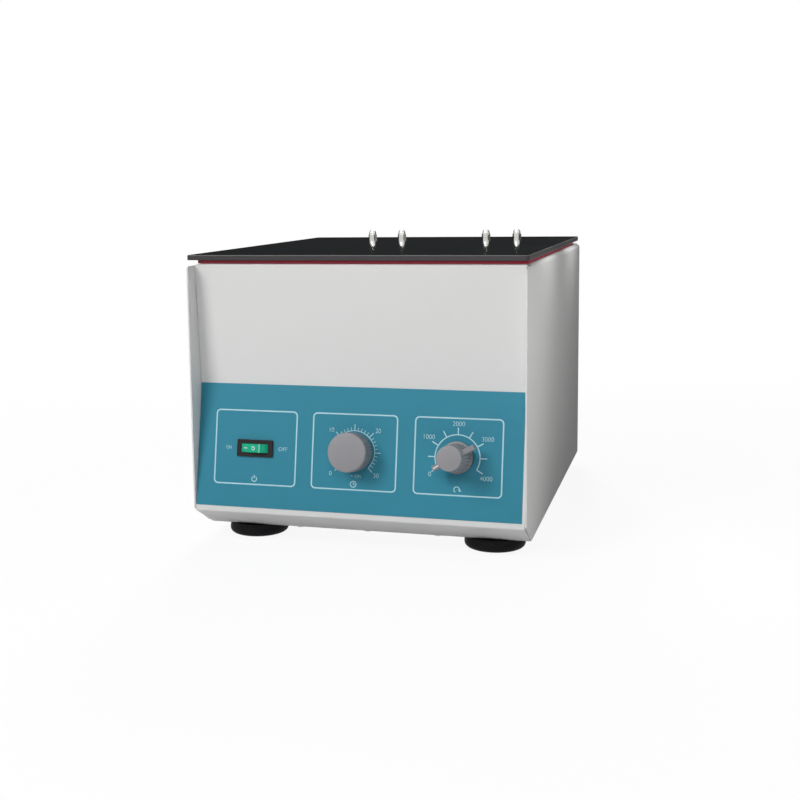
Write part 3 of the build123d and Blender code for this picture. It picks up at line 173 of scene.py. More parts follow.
bpy.ops.object.camera_add()
camera = newest("camera")
camera_place = Vector((CAMERA_RIGHT, housing_low.y - CAMERA_AWAY, housing_low.z + CAMERA_HEIGHT))
camera.matrix_world = Matrix.Translation(camera_place) @ (
    Matrix((right, up, -forward)).transposed().to_4x4()
)
camera.data.sensor_width = 36
camera.data.lens = FOCAL_PIXELS / IMAGE_SIDE * camera.data.sensor_width
camera.data.shift_x = (IMAGE_SIDE / 2 - CENTRE_PIXEL[0]) / IMAGE_SIDE
camera.data.shift_y = (CENTRE_PIXEL[1] - IMAGE_SIDE / 2) / IMAGE_SIDE
camera.data.clip_start = 0.01
bpy.context.scene.camera = camera
print("lens", round(camera.data.lens, 2), "mm")

# %% [markdown]
# ## Shader nodes as expressions
#
# A procedural finish is mostly arithmetic on coordinates and noise. A small class wraps a socket,
# so that `1 - mask` or `a * b` adds the Math nodes. Another one holds a material: its `node`
# method adds any other node, and `feed` connects the result to the surface.


# %% Shader maths
class Value:
    """A number that changes over a surface."""

    def __init__(self, finish, socket):
        self.finish = finish
        self.socket = socket

    def maths(self, operation, *terms):
        return self.finish.node(
            "ShaderNodeMath", {"operation": operation}, dict(enumerate(terms))
        )

    def __add__(self, other):
        return self.maths("ADD", self, other)

    def __sub__(self, other):
        return self.maths("SUBTRACT", self, other)

    def __rsub__(self, other):
        return self.maths("SUBTRACT", other, self)

    def __mul__(self, other):
        return self.maths("MULTIPLY", self, other)

    def __truediv__(self, other):
        return self.maths("DIVIDE", self, other)

    def __pow__(self, other):
        return self.maths("POWER", self, other)

    def __gt__(self, other):
        return self.maths("GREATER_THAN", self, other)

    def __lt__(self, other):
        return self.maths("LESS_THAN", self, other)

    __radd__ = __add__
    __rmul__ = __mul__

    def kept(self, low=0.0, high=1.0):
        """The value, held between two limits."""
        return self.finish.node(
            "ShaderNodeClamp", {}, {"Value": self, "Min": low, "Max": high}
        )


class Graph:
    """The nodes of a material or of the world."""

    def __init__(self, tree):
        self.tree = tree

    def node(self, kind, settings, inputs, output=0):
        """Add a node: its settings first, then the values or links of its sockets."""
        made = self.tree.nodes.new(kind)
        for name, value in settings.items():
            setattr(made, name, value)
        for name, value in inputs.items():
            if isinstance(value, Value):
                self.tree.links.new(value.socket, made.inputs[name])
            elif value is not None:
                made.inputs[name].default_value = value
        return Value(self, made.outputs[output])

    def ray(self, kind):
        """1 for one kind of ray and 0 for the others."""
        return self.node("ShaderNodeLightPath", {}, {}, f"Is {kind} Ray")


class Finish(Graph):
    """A material whose surface is one Principled shader."""

    def __init__(self, name, colour, roughness=0.5, metallic=0.0, **fixed):
        self.material = bpy.data.materials.new(name)
        self.material.use_nodes = True
        super().__init__(self.material.node_tree)
        self.shader = self.tree.nodes["Principled BSDF"]
        self.colour = (*colour, 1)
        self.roughness = roughness
        self.set("Base Color", self.colour)
        self.set("Roughness", roughness)
        self.set("Metallic", metallic)
        for socket, number in fixed.items():
            self.set(socket.replace("_", " "), number)

    def set(self, socket, value):
        """Put a fixed number or colour on the shader's own socket."""
        self.shader.inputs[socket].default_value = value

    def feed(self, socket, value):
        """Connect a value to the shader."""
        self.tree.links.new(value.socket, self.shader.inputs[socket])
        return self

    def place(self, scale=(1, 1, 1), turn=(0, 0, 0), origin=(0, 0, 0)):
        """Object coordinates in metres, moved so that origin is 0, then turned and scaled."""
        here = self.node("ShaderNodeTexCoord", {}, {}, "Object")
        moved = self.node(
            "ShaderNodeVectorMath", {"operation": "SUBTRACT"}, {0: here, 1: origin}
        )
        turned = self.node(
            "ShaderNodeMapping", {"vector_type": "POINT"}, {"Vector": moved, "Rotation": turn}
        )
        return self.node(
            "ShaderNodeVectorMath", {"operation": "MULTIPLY"}, {0: turned, 1: scale}
        )

    def noise(self, per_metre, detail=2.0, stretch=(1, 1, 1), where=None):
        """Noise of that many grains to the metre, from 0 to 1."""
        vector = where or self.place(stretch)
        return self.node(
            "ShaderNodeTexNoise",
            {},
            {"Vector": vector, "Scale": per_metre, "Detail": detail},
        )

    def mixed(self, factor, first, second):
        """One colour where the factor is 0 and another where it is 1."""
        made = self.tree.nodes.new("ShaderNodeMix")
        made.data_type = "RGBA"
        for socket, value in (("Factor", factor), ("A", first), ("B", second)):
            target = next(
                s for s in made.inputs if s.name == socket and s.enabled
            )
            if isinstance(value, Value):
                self.tree.links.new(value.socket, target)
            elif socket == "Factor":
                target.default_value = value
            else:
                target.default_value = (*value[:3], 1)
        return Value(self, next(s for s in made.outputs if s.enabled))

    def relief(self, height, depth, edge=0.0):
        """Bump of that depth in metres, over edges that are rounded by a radius in metres."""
        inputs = {"Height": height, "Distance": depth, "Strength": 1.0}
        if edge:
            inputs["Normal"] = self.node(
                "ShaderNodeBevel", {"samples": 4}, {"Radius": edge}
            )
        return self.feed("Normal", self.node("ShaderNodeBump", {}, inputs))


def shade(colour, factor):
    """A lighter or darker version of a colour."""
    return tuple(min(1.0, c * factor) for c in colour[:3])


def srgb(red, green, blue):
    """A colour given as it looks on a screen, from 0 to 255, as the shader's linear numbers."""
    return tuple(
        c / 12.92 if c <= 0.04045 else ((c + 0.055) / 1.055) ** 2.4
        for c in (v / 255 for v in (red, green, blue))
    )


# %% [markdown]
# ## Finishes
#
# Most of the machine is one of five things: powder-coated sheet, moulded plastic or rubber, bare
# sheet metal, turned metal, or polished plate. Each family is a function, so that two pieces of
# one family share their grain but not their colour.


# %% Powder coat
# lower than a real coat's 0.5, at which a side that is seen edge-on mirrors the white room
PAINT_SPECULAR = 0.02


def powder_coat(name, colour, roughness=0.5):
    """Baked powder: a fine orange peel, slightly uneven gloss and faint grime."""
    paint = Finish(name, colour, roughness, Specular_IOR_Level=PAINT_SPECULAR)
    peel = paint.noise(900, 2) + 0.5 * paint.noise(2600, 1)
    cloud = paint.noise(9, 3)
    speck = (paint.noise(420, 1) > 0.73) * 0.05
    tone = (cloud * 0.5 + speck).kept()
    paint.feed("Base Color", paint.mixed(tone, colour, shade(colour, 0.955)))
    paint.feed("Roughness", roughness - 0.06 + 0.12 * cloud)
    paint.relief(peel, 0.00002, 0.0004)
    return paint.material


# %% Moulded plastic and rubber
def moulded(name, colour, roughness, grain=2200, depth=0.00002, edge=0.0003, **fixed):
    """Plastic or rubber from an etched mould: fine even grain, with slight cloudiness."""
    resin = Finish(name, colour, roughness, **fixed)
    texture = resin.noise(grain, 2)
    cloud = resin.noise(35, 3)
    resin.feed("Base Color", resin.mixed(cloud, shade(colour, 0.9), shade(colour, 1.1)))
    resin.feed("Roughness", roughness - 0.06 + 0.12 * cloud)
    resin.relief(texture, depth, edge)
    return resin.material


# %% Sheet metal
def sheet_metal(name, colour, roughness=0.38, along=(1, 30, 30), edge=0.0003):
    """Rolled sheet: streaks along the mill's direction, over a faint cloud."""
    metal = Finish(name, colour, roughness, 1.0)
    streaks = metal.noise(60, 3, along)
    cloud = metal.noise(25, 3)
    metal.feed("Base Color", metal.mixed(cloud, shade(colour, 0.88), shade(colour, 1.06)))
    metal.feed("Roughness", roughness - 0.1 + 0.12 * streaks + 0.1 * cloud)
    metal.relief(streaks, 0.000015, edge)
    return metal.material


# %% Turned metal
def turned_metal(name, colour, roughness, origin, rings=1500, edge=0.0002):
    """Metal from the lathe or the spinning lathe: fine rings about a vertical axis."""
    metal = Finish(name, colour, roughness, 1.0)
    here = metal.place(origin=origin)
    parts = [
        metal.node("ShaderNodeSeparateXYZ", {}, {"Vector": here}, axis) for axis in "XYZ"
    ]
    away = (parts[0] * parts[0] + parts[1] * parts[1]) ** 0.5
    lathe = metal.node("ShaderNodeCombineXYZ", {}, {"X": away, "Z": parts[2]})
    tool_marks = metal.noise(rings, 1, where=lathe)
    bands = metal.noise(140, 2, where=lathe)
    cloud = metal.noise(30, 2)
    metal.feed("Base Color", metal.mixed(bands, shade(colour, 0.86), shade(colour, 1.06)))
    metal.feed("Roughness", roughness - 0.08 + 0.1 * tool_marks + 0.08 * cloud)
    metal.relief(tool_marks, 0.000012, edge)
    return metal.material


# %% Polished plate
def polished(name, colour, roughness=0.12):
    """Nickel or chrome plate with a few dull patches."""
    plate = Finish(name, colour, roughness, 1.0)
    haze = plate.noise(160, 3)
    plate.feed("Base Color", plate.mixed(haze, shade(colour, 0.9), colour))
    plate.feed("Roughness", roughness - 0.04 + 0.12 * haze)
    plate.relief(plate.noise(500, 1), 0.000004, 0.0002)
    return plate.material


# %% [markdown]
# ## Dressing the solids
#
# The record names a material slot for each node. One table turns those slots into finishes, and a
# loop puts each finish on its nodes, so no solid is left plain, not even inside the housing.

# %% Finishes for every slot
spindle = Vector(next(j["pos_m"] for j in frame["joints"] if j["name"] == "rotor_spin"))

SLOTS = {
    "housing_paint": powder_coat("housing_paint", srgb(223, 223, 222)),
    "zinc_sheet": sheet_metal("zinc_sheet", (0.62, 0.62, 0.60)),
    "bowl_steel": turned_metal("bowl_steel", (0.66, 0.66, 0.66), 0.30, spindle, 900),
    "fastener_steel": sheet_metal("fastener_steel", (0.60, 0.60, 0.57), 0.32, (8, 8, 8)),
    "bright_fastener": polished("bright_fastener", (0.80, 0.79, 0.76)),
    "foot_rubber": moulded(
        "foot_rubber", (0.004, 0.004, 0.005), 0.6, 1400, 0.00004, 0.0006, Specular_IOR_Level=0.12
    ),
    "damper_rubber": moulded("damper_rubber", (0.020, 0.020, 0.020), 0.70, 1200, 0.00004),
    "motor_paint": powder_coat("motor_paint", (0.035, 0.037, 0.040), 0.45),
    "motor_casting": moulded("motor_casting", (0.50, 0.50, 0.49), 0.45, 1300, 0.00004, Metallic=1.0),
    "bearing_steel": polished("bearing_steel", (0.70, 0.70, 0.70), 0.16),
    "iron_core": sheet_metal("iron_core", (0.30, 0.28, 0.27), 0.5, (1, 1, 60)),
    "commutator_brass": turned_metal("commutator_brass", (0.75, 0.42, 0.26), 0.28, spindle),
    "holder_plastic": moulded("holder_plastic", (0.035, 0.022, 0.016), 0.45),
    "brush_carbon": moulded("brush_carbon", (0.012, 0.012, 0.012), 0.55, 3000),
    "shaft_steel": turned_metal("shaft_steel", (0.62, 0.62, 0.62), 0.24, spindle, 2000),
    "rotor_alloy": turned_metal("rotor_alloy", (0.50, 0.51, 0.53), 0.34, spindle, 1300),
    "sleeve_alloy": turned_metal("sleeve_alloy", (0.72, 0.72, 0.72), 0.26, spindle, 1800),
    "knob_grey": moulded("knob_grey", srgb(138, 137, 141), 0.5, 1800, 0.00003),
    "control_case": moulded("control_case", (0.68, 0.66, 0.60), 0.45),
    "switch_black": moulded(
        "switch_black", srgb(40, 34, 36), 0.4, 2600, 0.00001, Specular_IOR_Level=0.15
    ),
    "board_green": moulded("board_green", (0.020, 0.110, 0.040), 0.40, 900),
    "capacitor_case": moulded("capacitor_case", (0.55, 0.42, 0.06), 0.35),
    "sink_alloy": sheet_metal("sink_alloy", (0.030, 0.030, 0.032), 0.45, (1, 20, 20)),
    "inlet_black": moulded("inlet_black", (0.015, 0.015, 0.015), 0.45),
    "pin_metal": polished("pin_metal", (0.72, 0.68, 0.55), 0.22),
}
print("finishes", len(SLOTS))

# %% [markdown]
# The label is a thin printed film: a flat teal ink under a satin face with a very fine grain. The
# print itself is modelled further down as ink that lies on it.

# %% Label film
TEAL = srgb(53, 133, 156)
film = Finish("label_print", TEAL, 0.36, Specular_IOR_Level=0.2)
haze = film.noise(14, 3)
film.feed("Base Color", film.mixed(haze, shade(TEAL, 0.96), shade(TEAL, 1.05)))
film.feed("Roughness", 0.30 + 0.10 * haze)
film.relief(film.noise(3800, 1), 0.000008, 0.0002)
SLOTS["label_print"] = film.material

# %% [markdown]
# The lid is a glossy black sheet. Gloss shows every flaw, so the finish has a slow waviness,
# wiping marks and a little dust, which dull it in places. Its sawn edges are matt and a little
# paler, and the bevel round them gets a paler colour still, which is a painted highlight.

# %% Lid sheet
LID_BLACK = srgb(31, 36, 40)
gloss = Finish("lid_black", LID_BLACK, 0.08, Specular_IOR_Level=0.5)
wiping = gloss.noise(22, 3, (1, 5, 1))
dust = gloss.noise(1100, 1) > 0.76
facing = gloss.node("ShaderNodeTexCoord", {}, {}, "Normal")
upright = gloss.node("ShaderNodeSeparateXYZ", {}, {"Vector": facing}, "Z")
tip = upright * upright
sawn = tip < 0.9
# the bevel between the top and the sawn edges, which is painted paler as a painted highlight
bevel_highlight = sawn * (tip > 0.2)
black = gloss.mixed(dust * 0.2, LID_BLACK, srgb(86, 86, 88))
# the sawn edge's colour, with the paler painted highlight on the bevel
edge = gloss.mixed(bevel_highlight, srgb(38, 35, 38), srgb(92, 88, 86))
gloss.feed("Base Color", gloss.mixed(sawn, black, edge))
gloss.feed("Roughness", (0.03 + 0.05 * wiping + 0.1 * dust + 0.35 * sawn).kept())
gloss.relief(gloss.noise(5, 1), 0.00008, 0.0004)
SLOTS["lid_black"] = gloss.material

# %% [markdown]
# The seal is a soft rubber strip, and the rocker is a translucent green cap with a lamp behind it.
# A pale line painted along the ridge between its two faces, in its colour and its glow, is a painted highlight.

# %% Seal and rocker
# where the painted highlight along the ridge lies, and its half width
RIDGE_FROM_PIVOT = 5.7 * MM  # right of the rocker's pivot
RIDGE_HALF = 0.35 * MM

SLOTS["seal_rubber"] = moulded("seal_rubber", srgb(128, 18, 38), 0.7, 700, 0.00006)
GREEN = srgb(8, 164, 128)
cap = Finish(
    "rocker_green",
    GREEN,
    0.22,
    Transmission_Weight=0.25,
    Specular_IOR_Level=0.25,
    IOR=1.49,
    Emission_Strength=0.19,
)
glow = cap.noise(120, 2)
cap_tone = cap.mixed(glow, shade(GREEN, 0.85), shade(GREEN, 1.2))
pivot_x = next(j["pos_m"][0] for j in frame["joints"] if j["name"] == "power_rock")
from_ridge = cap.place(origin=(pivot_x + RIDGE_FROM_PIVOT, 0, 0))
across = cap.node("ShaderNodeSeparateXYZ", {}, {"Vector": from_ridge}, "X")
# a pale stripe along the ridge, in the colour and in the glow: a painted highlight
ridge = (across * across) < RIDGE_HALF**2
cap.feed("Base Color", cap.mixed(ridge, cap_tone, srgb(170, 236, 214)))
cap.feed("Emission Color", cap.mixed(ridge, cap_tone, srgb(150, 228, 205)))
cap.relief(cap.noise(1500, 1), 0.000006, 0.0003)
SLOTS["rocker_green"] = cap.material

# %% Put the finishes on the nodes
for entry in frame["record"]["subparts"]:
    node = nodes[entry["node"]]
    node.data.materials.clear()
    node.data.materials.append(SLOTS[entry["material_slot"]])

# %% [markdown]
# ## The seal under the lid
#
# A strip of soft sponge is glued round the lid's underside and closes the chamber. Such a strip
# has no sharp corner: its sides bulge a little where the lid presses on it. It is drawn as a flat
# frame, an inset of one face, then raised to its height and rounded by a bevel.

# %% Seal
SEAL_WIDTH = 11.0
SEAL_CORNER = 8.0
SEAL_ROUND = 1.1

seal_low, seal_high = (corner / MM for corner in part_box("lid_seal"))
seal_middle = (seal_low + seal_high) / 2
seal_size = seal_high - seal_low
bpy.ops.object.select_all(action="DESELECT")
bpy.ops.mesh.primitive_plane_add(size=1, location=(seal_middle.x, seal_middle.y, seal_low.z))
seal = newest("lid_seal_sponge")
seal.scale = (seal_size.x, seal_size.y, 1)
bpy.ops.object.transform_apply(location=True, scale=True)
bpy.ops.object.mode_set(mode="EDIT")
bpy.ops.mesh.select_all(action="SELECT")
bpy.ops.mesh.bevel(offset=SEAL_CORNER, segments=10, affect="VERTICES")
bpy.ops.mesh.select_all(action="SELECT")
bpy.ops.mesh.inset(thickness=SEAL_WIDTH)
bpy.ops.mesh.delete(type="FACE")
bpy.ops.object.mode_set(mode="OBJECT")
modify(seal, "SOLIDIFY", thickness=seal_size.z, offset=1)
modify(seal, "BEVEL", width=SEAL_ROUND, segments=5, limit_method="ANGLE", angle_limit=1.0)
bpy.ops.object.shade_smooth_by_angle(angle=math.radians(50))
settle(seal, Matrix.Identity(4))
seal.data.materials.append(SLOTS["seal_rubber"])
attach(seal, "lid")
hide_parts("lid_seal")
print("seal", [round(v, 1) for v in seal_size], "mm")

# %% [markdown]
# ## The control panel's own directions
#
# The panel slopes, so its pieces are drawn flat, in millimetres, with X across it, Y up its slope
# and Z out of it. A joint of the model gives a control's middle and the way out of the panel.

# %% Panel directions
joints = {joint["name"]: joint for joint in frame["joints"]}
PANEL_OUT = Vector(joints["timer_turn"]["axis"]).normalized()
PANEL_UP = PANEL_OUT.cross(Vector((1, 0, 0)))
LABEL_THICKNESS = 0.4


def on_panel(joint_name):
    """The panel's frame at a joint of one of its controls."""
    turned = Matrix((Vector((1, 0, 0)), PANEL_UP, PANEL_OUT)).transposed().to_4x4()
    return Matrix.Translation(joints[joint_name]["pos_m"]) @ turned


def from_timer(joint_name):
    """How far right of the timer, and how far up the slope from it, a control is in millimetres."""
    gap = Vector(joints[joint_name]["pos_m"]) - Vector(joints["timer_turn"]["pos_m"])
    return gap.x / MM, gap.dot(PANEL_UP) / MM


power_at, timer_at, speed_at = (
    from_timer(name) for name in ("power_rock", "timer_turn", "speed_turn")
)
print("power switch at", power_at, "speed at", speed_at)

# %% [markdown]
# ## Knobs
#
# Both knobs are moulded with fine grips on their sides. A cylinder gets four edges to each grip.
# One of the four is drawn in towards the middle, which gives every valley at once, and the front
# edge is rounded, because that is where such a knob catches the light.


# %% Grips
def valleys(obj, count, low, high, factor):
    """Draw one upright edge in four towards the axis, between two heights."""
    step = 2 * math.pi / (4 * count)

    def in_valley(middle, normal):
        place = round(math.atan2(middle.y, middle.x) / step)
        return abs(normal.z) > 0.9 and low < middle.z < high and place % 4 == 0

    found = choose(obj, in_valley, "edge")
    bpy.ops.transform.resize(value=(factor, factor, 1), center_override=(0, 0, 0))
    return found


def ring_at(height):
    """Cut a ring of edges round all that is in edit mode."""
    bpy.ops.mesh.select_all(action="SELECT")
    bpy.ops.mesh.bisect(plane_co=(0, 0, height), plane_no=(0, 0, 1))


def round_front(obj, height, radius, amount):
    """Round the outer edge of a front face."""
    choose(
        obj,
        lambda middle, normal: abs(middle.z - height) < 0.01 and middle.xy.length > radius - 0.2,
        "edge",
    )
    bpy.ops.mesh.bevel(offset=amount, segments=4, affect="EDGES")


# %% Timer knob
TIMER_RADIUS = 16.0
TIMER_BASE = 3.0
TIMER_FRONT = 23.0
TIMER_GRIPS = 40
TIMER_LIP = 2.2
TIMER_EDGE = 1.6

bpy.ops.object.select_all(action="DESELECT")
bpy.ops.mesh.primitive_cylinder_add(
    vertices=4 * TIMER_GRIPS,
    radius=TIMER_RADIUS,
    depth=TIMER_FRONT - TIMER_BASE,
    location=(0, 0, (TIMER_FRONT + TIMER_BASE) / 2),
)
timer_knob = newest("timer_knob_moulding")
bpy.ops.object.transform_apply(location=True)
bpy.ops.object.mode_set(mode="EDIT")
ring_at(TIMER_FRONT - TIMER_LIP)
ring_at(TIMER_FRONT - TIMER_LIP - 0.4)
grips = valleys(timer_knob, TIMER_GRIPS, TIMER_BASE, TIMER_FRONT - TIMER_LIP - 0.3, 0.955)
round_front(timer_knob, TIMER_FRONT, TIMER_RADIUS, TIMER_EDGE)
choose(timer_knob, lambda middle, normal: abs(middle.z - TIMER_BASE) < 0.01)
bpy.ops.mesh.inset(thickness=2.2)
bpy.ops.mesh.extrude_region_move(TRANSFORM_OT_translate={"value": (0, 0, 12)})
bpy.ops.object.mode_set(mode="OBJECT")
modify(timer_knob, "BEVEL", width=0.12, segments=2, limit_method="ANGLE", angle_limit=0.5)
bpy.ops.object.shade_smooth_by_angle(angle=math.radians(28))
settle(timer_knob, on_panel("timer_turn"))
timer_knob.data.materials.append(SLOTS["knob_grey"])
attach(timer_knob, "timer_control")
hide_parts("timer_knob")
print("timer grips", grips, "faces", len(timer_knob.data.polygons))

# %% [markdown]
# The speed knob is built up as a potter would: a skirt, an inset, then a body drawn out of it that
# narrows to the front. A bar across the body is its pointer, and the end that reads the dial has a
# white line.

# %% Speed knob
SPEED_BASE = 1.8
SPEED_SKIRT_TOP = 4.6
SPEED_SKIRT_RADIUS = 12.8
SPEED_BODY_RADIUS = 11.4
SPEED_FRONT = 35.0
SPEED_FRONT_RADIUS = 9.9
SPEED_GRIPS = 24
POINTER_ANGLE = 210.0
POINTER_REACH = 18.7
POINTER_WIDTH = 4.2
POINTER_LOW = 12.0
POINTER_TIP = 18.0
POINTER_ROOT = 25.0


def draw_out(height, radius_before, radius_after):
    """Extrude the selected face out of the panel and narrow it."""
    bpy.ops.mesh.extrude_region_move(TRANSFORM_OT_translate={"value": (0, 0, height)})
    factor = radius_after / radius_before
    bpy.ops.transform.resize(value=(factor, factor, 1))


bpy.ops.object.select_all(action="DESELECT")
bpy.ops.mesh.primitive_cylinder_add(
    vertices=4 * SPEED_GRIPS,
    radius=SPEED_SKIRT_RADIUS,
    depth=SPEED_SKIRT_TOP - SPEED_BASE,
    location=(0, 0, (SPEED_SKIRT_TOP + SPEED_BASE) / 2),
)
speed_body = newest("speed_knob_body")
bpy.ops.object.transform_apply(location=True)
bpy.ops.object.mode_set(mode="EDIT")
choose(speed_body, lambda middle, normal: abs(middle.z - SPEED_SKIRT_TOP) < 0.01)
bpy.ops.mesh.inset(thickness=SPEED_SKIRT_RADIUS - SPEED_BODY_RADIUS)
draw_out(SPEED_FRONT - 2.4 - SPEED_SKIRT_TOP, SPEED_BODY_RADIUS, 10.1)
draw_out(0.4, 10.1, 10.05)
draw_out(2.0, 10.05, SPEED_FRONT_RADIUS)
round_front(speed_body, SPEED_FRONT, SPEED_FRONT_RADIUS, 0.6)
grips = valleys(speed_body, SPEED_GRIPS, SPEED_SKIRT_TOP + 0.1, SPEED_FRONT - 2.3, 0.93)
choose(speed_body, lambda middle, normal: abs(middle.z - SPEED_BASE) < 0.01)
bpy.ops.mesh.inset(thickness=SPEED_SKIRT_RADIUS - 9.0)
bpy.ops.mesh.extrude_region_move(TRANSFORM_OT_translate={"value": (0, 0, 2.4)})
bpy.ops.object.mode_set(mode="OBJECT")
modify(speed_body, "BEVEL", width=0.18, segments=2, limit_method="ANGLE", angle_limit=0.5)

# %% Pointer bar
bpy.ops.object.select_all(action="DESELECT")
bpy.ops.mesh.primitive_cube_add(size=1, location=(0, 0, (POINTER_LOW + POINTER_ROOT) / 2))
bar = newest("speed_knob_bar")
bar.scale = (2 * POINTER_REACH, POINTER_WIDTH, POINTER_ROOT - POINTER_LOW)
bpy.ops.object.transform_apply(location=True, scale=True)
bpy.ops.object.mode_set(mode="EDIT")
for side in (-1, 1):
    bpy.ops.mesh.select_all(action="SELECT")
    bpy.ops.mesh.bisect(plane_co=(side * SPEED_FRONT_RADIUS, 0, 0), plane_no=(1, 0, 0))
choose(
    bar,
    lambda middle, normal: abs(middle.x) > POINTER_REACH - 0.1 and middle.z > POINTER_ROOT - 0.1,
    "edge",
)
bpy.ops.transform.translate(value=(0, 0, POINTER_TIP - POINTER_ROOT))
bpy.ops.object.mode_set(mode="OBJECT")
modify(bar, "BEVEL", width=0.35, segments=3, limit_method="ANGLE", angle_limit=0.5)
bar.data.transform(Matrix.Rotation(math.radians(POINTER_ANGLE), 4, "Z"))
speed_knob = joined("speed_knob_moulding", [speed_body, bar])
bpy.ops.object.shade_smooth_by_angle(angle=math.radians(28))
settle(speed_knob, on_panel("speed_turn"))
speed_knob.data.materials.clear()
speed_knob.data.materials.append(SLOTS["knob_grey"])
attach(speed_knob, "speed_control")
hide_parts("speed_knob")
print("speed grips", grips, "faces", len(speed_knob.data.polygons))

# %% [markdown]
# The white line is a stroke of paint on the bar's sloping back. It is a thin strip laid on it, so
# it is as sharp as the real one from any distance.

# %% Pointer line
slope_run = POINTER_REACH - SPEED_FRONT_RADIUS
slope_fall = POINTER_ROOT - POINTER_TIP
bpy.ops.object.select_all(action="DESELECT")
bpy.ops.mesh.primitive_cube_add(size=1)
stroke = newest("speed_pointer_line")
stroke.scale = (0.86 * math.hypot(slope_run, slope_fall), 1.1, 0.1)
stroke.rotation_euler = (0, math.atan2(slope_fall, slope_run), 0)
stroke.location = (
    (POINTER_REACH + SPEED_FRONT_RADIUS) / 2,
    0,
    (POINTER_ROOT + POINTER_TIP) / 2,
)
bpy.ops.object.transform_apply(location=True, rotation=True, scale=True)
modify(stroke, "BEVEL", width=0.04, segments=1)
stroke.data.transform(Matrix.Rotation(math.radians(POINTER_ANGLE), 4, "Z"))
settle(stroke, on_panel("speed_turn"))
PAINT_WHITE = Finish("pointer_white", srgb(232, 232, 232), 0.45)
brushed_on = PAINT_WHITE.noise(300, 2)
PAINT_WHITE.feed(
    "Base Color", PAINT_WHITE.mixed(brushed_on, srgb(214, 214, 214), srgb(240, 240, 240))
)
stroke.data.materials.append(PAINT_WHITE.material)
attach(stroke, "speed_control")
print("pointer line on the", POINTER_ANGLE, "degree end")

# %% [markdown]
# ## Power rocker
#
# The rocker is a slice of a round bar with one flat side, and it turns about the bar's axis. So it
# starts as a cylinder, and two cuts of a plane leave the flat face and the root. Its end that is
# pressed lies low and the other end stands up, which shows its round end as a second facet.

# %% Rocker
ROCKER_RADIUS = 12.9
ROCKER_WIDTH = 7.0
ROCKER_CHORD = 9.4
ROCKER_ROOT = 2.5
ROCKER_TILT = math.radians(joints["power_rock"]["range_deg"][1] / 2)
flat_out = Vector((-math.sin(ROCKER_TILT), 0, math.cos(ROCKER_TILT)))

bpy.ops.object.select_all(action="DESELECT")
bpy.ops.mesh.primitive_cylinder_add(
    vertices=144, radius=ROCKER_RADIUS, depth=ROCKER_WIDTH, rotation=(math.pi / 2, 0, 0)
)
rocker = newest("rocker_cap")
bpy.ops.object.transform_apply(rotation=True)
bpy.ops.object.mode_set(mode="EDIT")
bpy.ops.mesh.select_all(action="SELECT")
bpy.ops.mesh.bisect(
    plane_co=flat_out * ROCKER_CHORD, plane_no=flat_out, use_fill=True, clear_outer=True
)
bpy.ops.mesh.select_all(action="SELECT")
bpy.ops.mesh.bisect(
    plane_co=-flat_out * ROCKER_ROOT, plane_no=-flat_out, use_fill=True, clear_outer=True
)
bpy.ops.object.mode_set(mode="OBJECT")
modify(rocker, "BEVEL", width=0.4, segments=3, limit_method="ANGLE", angle_limit=0.4)
bpy.ops.object.shade_smooth_by_angle(angle=math.radians(30))
settle(rocker, on_panel("power_rock"))
rocker.data.materials.append(SLOTS["rocker_green"])
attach(rocker, "power_rocker")
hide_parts("switch_rocker")
print("rocker faces", len(rocker.data.polygons))

# %% [markdown]
# ## Flat print
#
# Frames, scales, digits and marks are all ink: flat shapes with hardly any thickness. Each helper
# below draws one kind in millimetres on the XY plane. They are joined, given the ink's thickness,
# and only then laid on the panel.

# %% Strokes and rings
LINE = 1.1
FINE_LINE = 0.85
INK = 0.05
CAPITAL = 0.72  # height of a capital, as a share of its font's size
THINNED = -0.004  # drawn in from a letter's outline, as a share of its size


def flat_stroke(start, end, width):
    """A straight stroke between two radii, pointing along X."""
    bpy.ops.object.select_all(action="DESELECT")
    bpy.ops.mesh.primitive_plane_add(size=1, location=((start + end) / 2, 0, 0))
    obj = newest("stroke")
    obj.scale = (end - start, width, 1)
    bpy.ops.object.transform_apply(location=True, scale=True)
    return obj


def turned(obj, degrees, shift=(0, 0)):
    """A copy of a flat shape with its own mesh, turned about the origin and then moved."""
    copy = obj.copy()
    copy.data = obj.data.copy()
    bpy.context.collection.objects.link(copy)
    place = Matrix.Translation((*shift, 0)) @ Matrix.Rotation(math.radians(degrees), 4, "Z")
    copy.data.transform(place)
    return copy


def dropped(obj):
    """Remove a shape that was only a pattern for its copies."""
    bpy.data.objects.remove(obj)


def flat_arc(radius, width, start, end):
    """Part of a ring, from one angle to a larger one, in steps of three degrees."""
    bpy.ops.object.select_all(action="DESELECT")
    bpy.ops.mesh.primitive_circle_add(vertices=120, radius=radius + width / 2)
    obj = newest("arc")
    middle_angle = (start + end) / 2
    reach = (end - start) / 2

    def outside(middle, normal):
        angle = math.degrees(math.atan2(middle.y, middle.x)) - middle_angle
        return abs((angle + 180) % 360 - 180) > reach

    bpy.ops.object.mode_set(mode="EDIT")
    choose(obj, outside, "edge")
    bpy.ops.mesh.delete(type="EDGE")
    bpy.ops.mesh.select_all(action="SELECT")
    bpy.ops.mesh.extrude_edges_move()
    factor = (radius - width / 2) / (radius + width / 2)
    bpy.ops.transform.resize(value=(factor, factor, 1), center_override=(0, 0, 0))
    bpy.ops.mesh.select_all(action="SELECT")
    bpy.ops.mesh.normals_make_consistent()
    bpy.ops.object.mode_set(mode="OBJECT")
    return obj


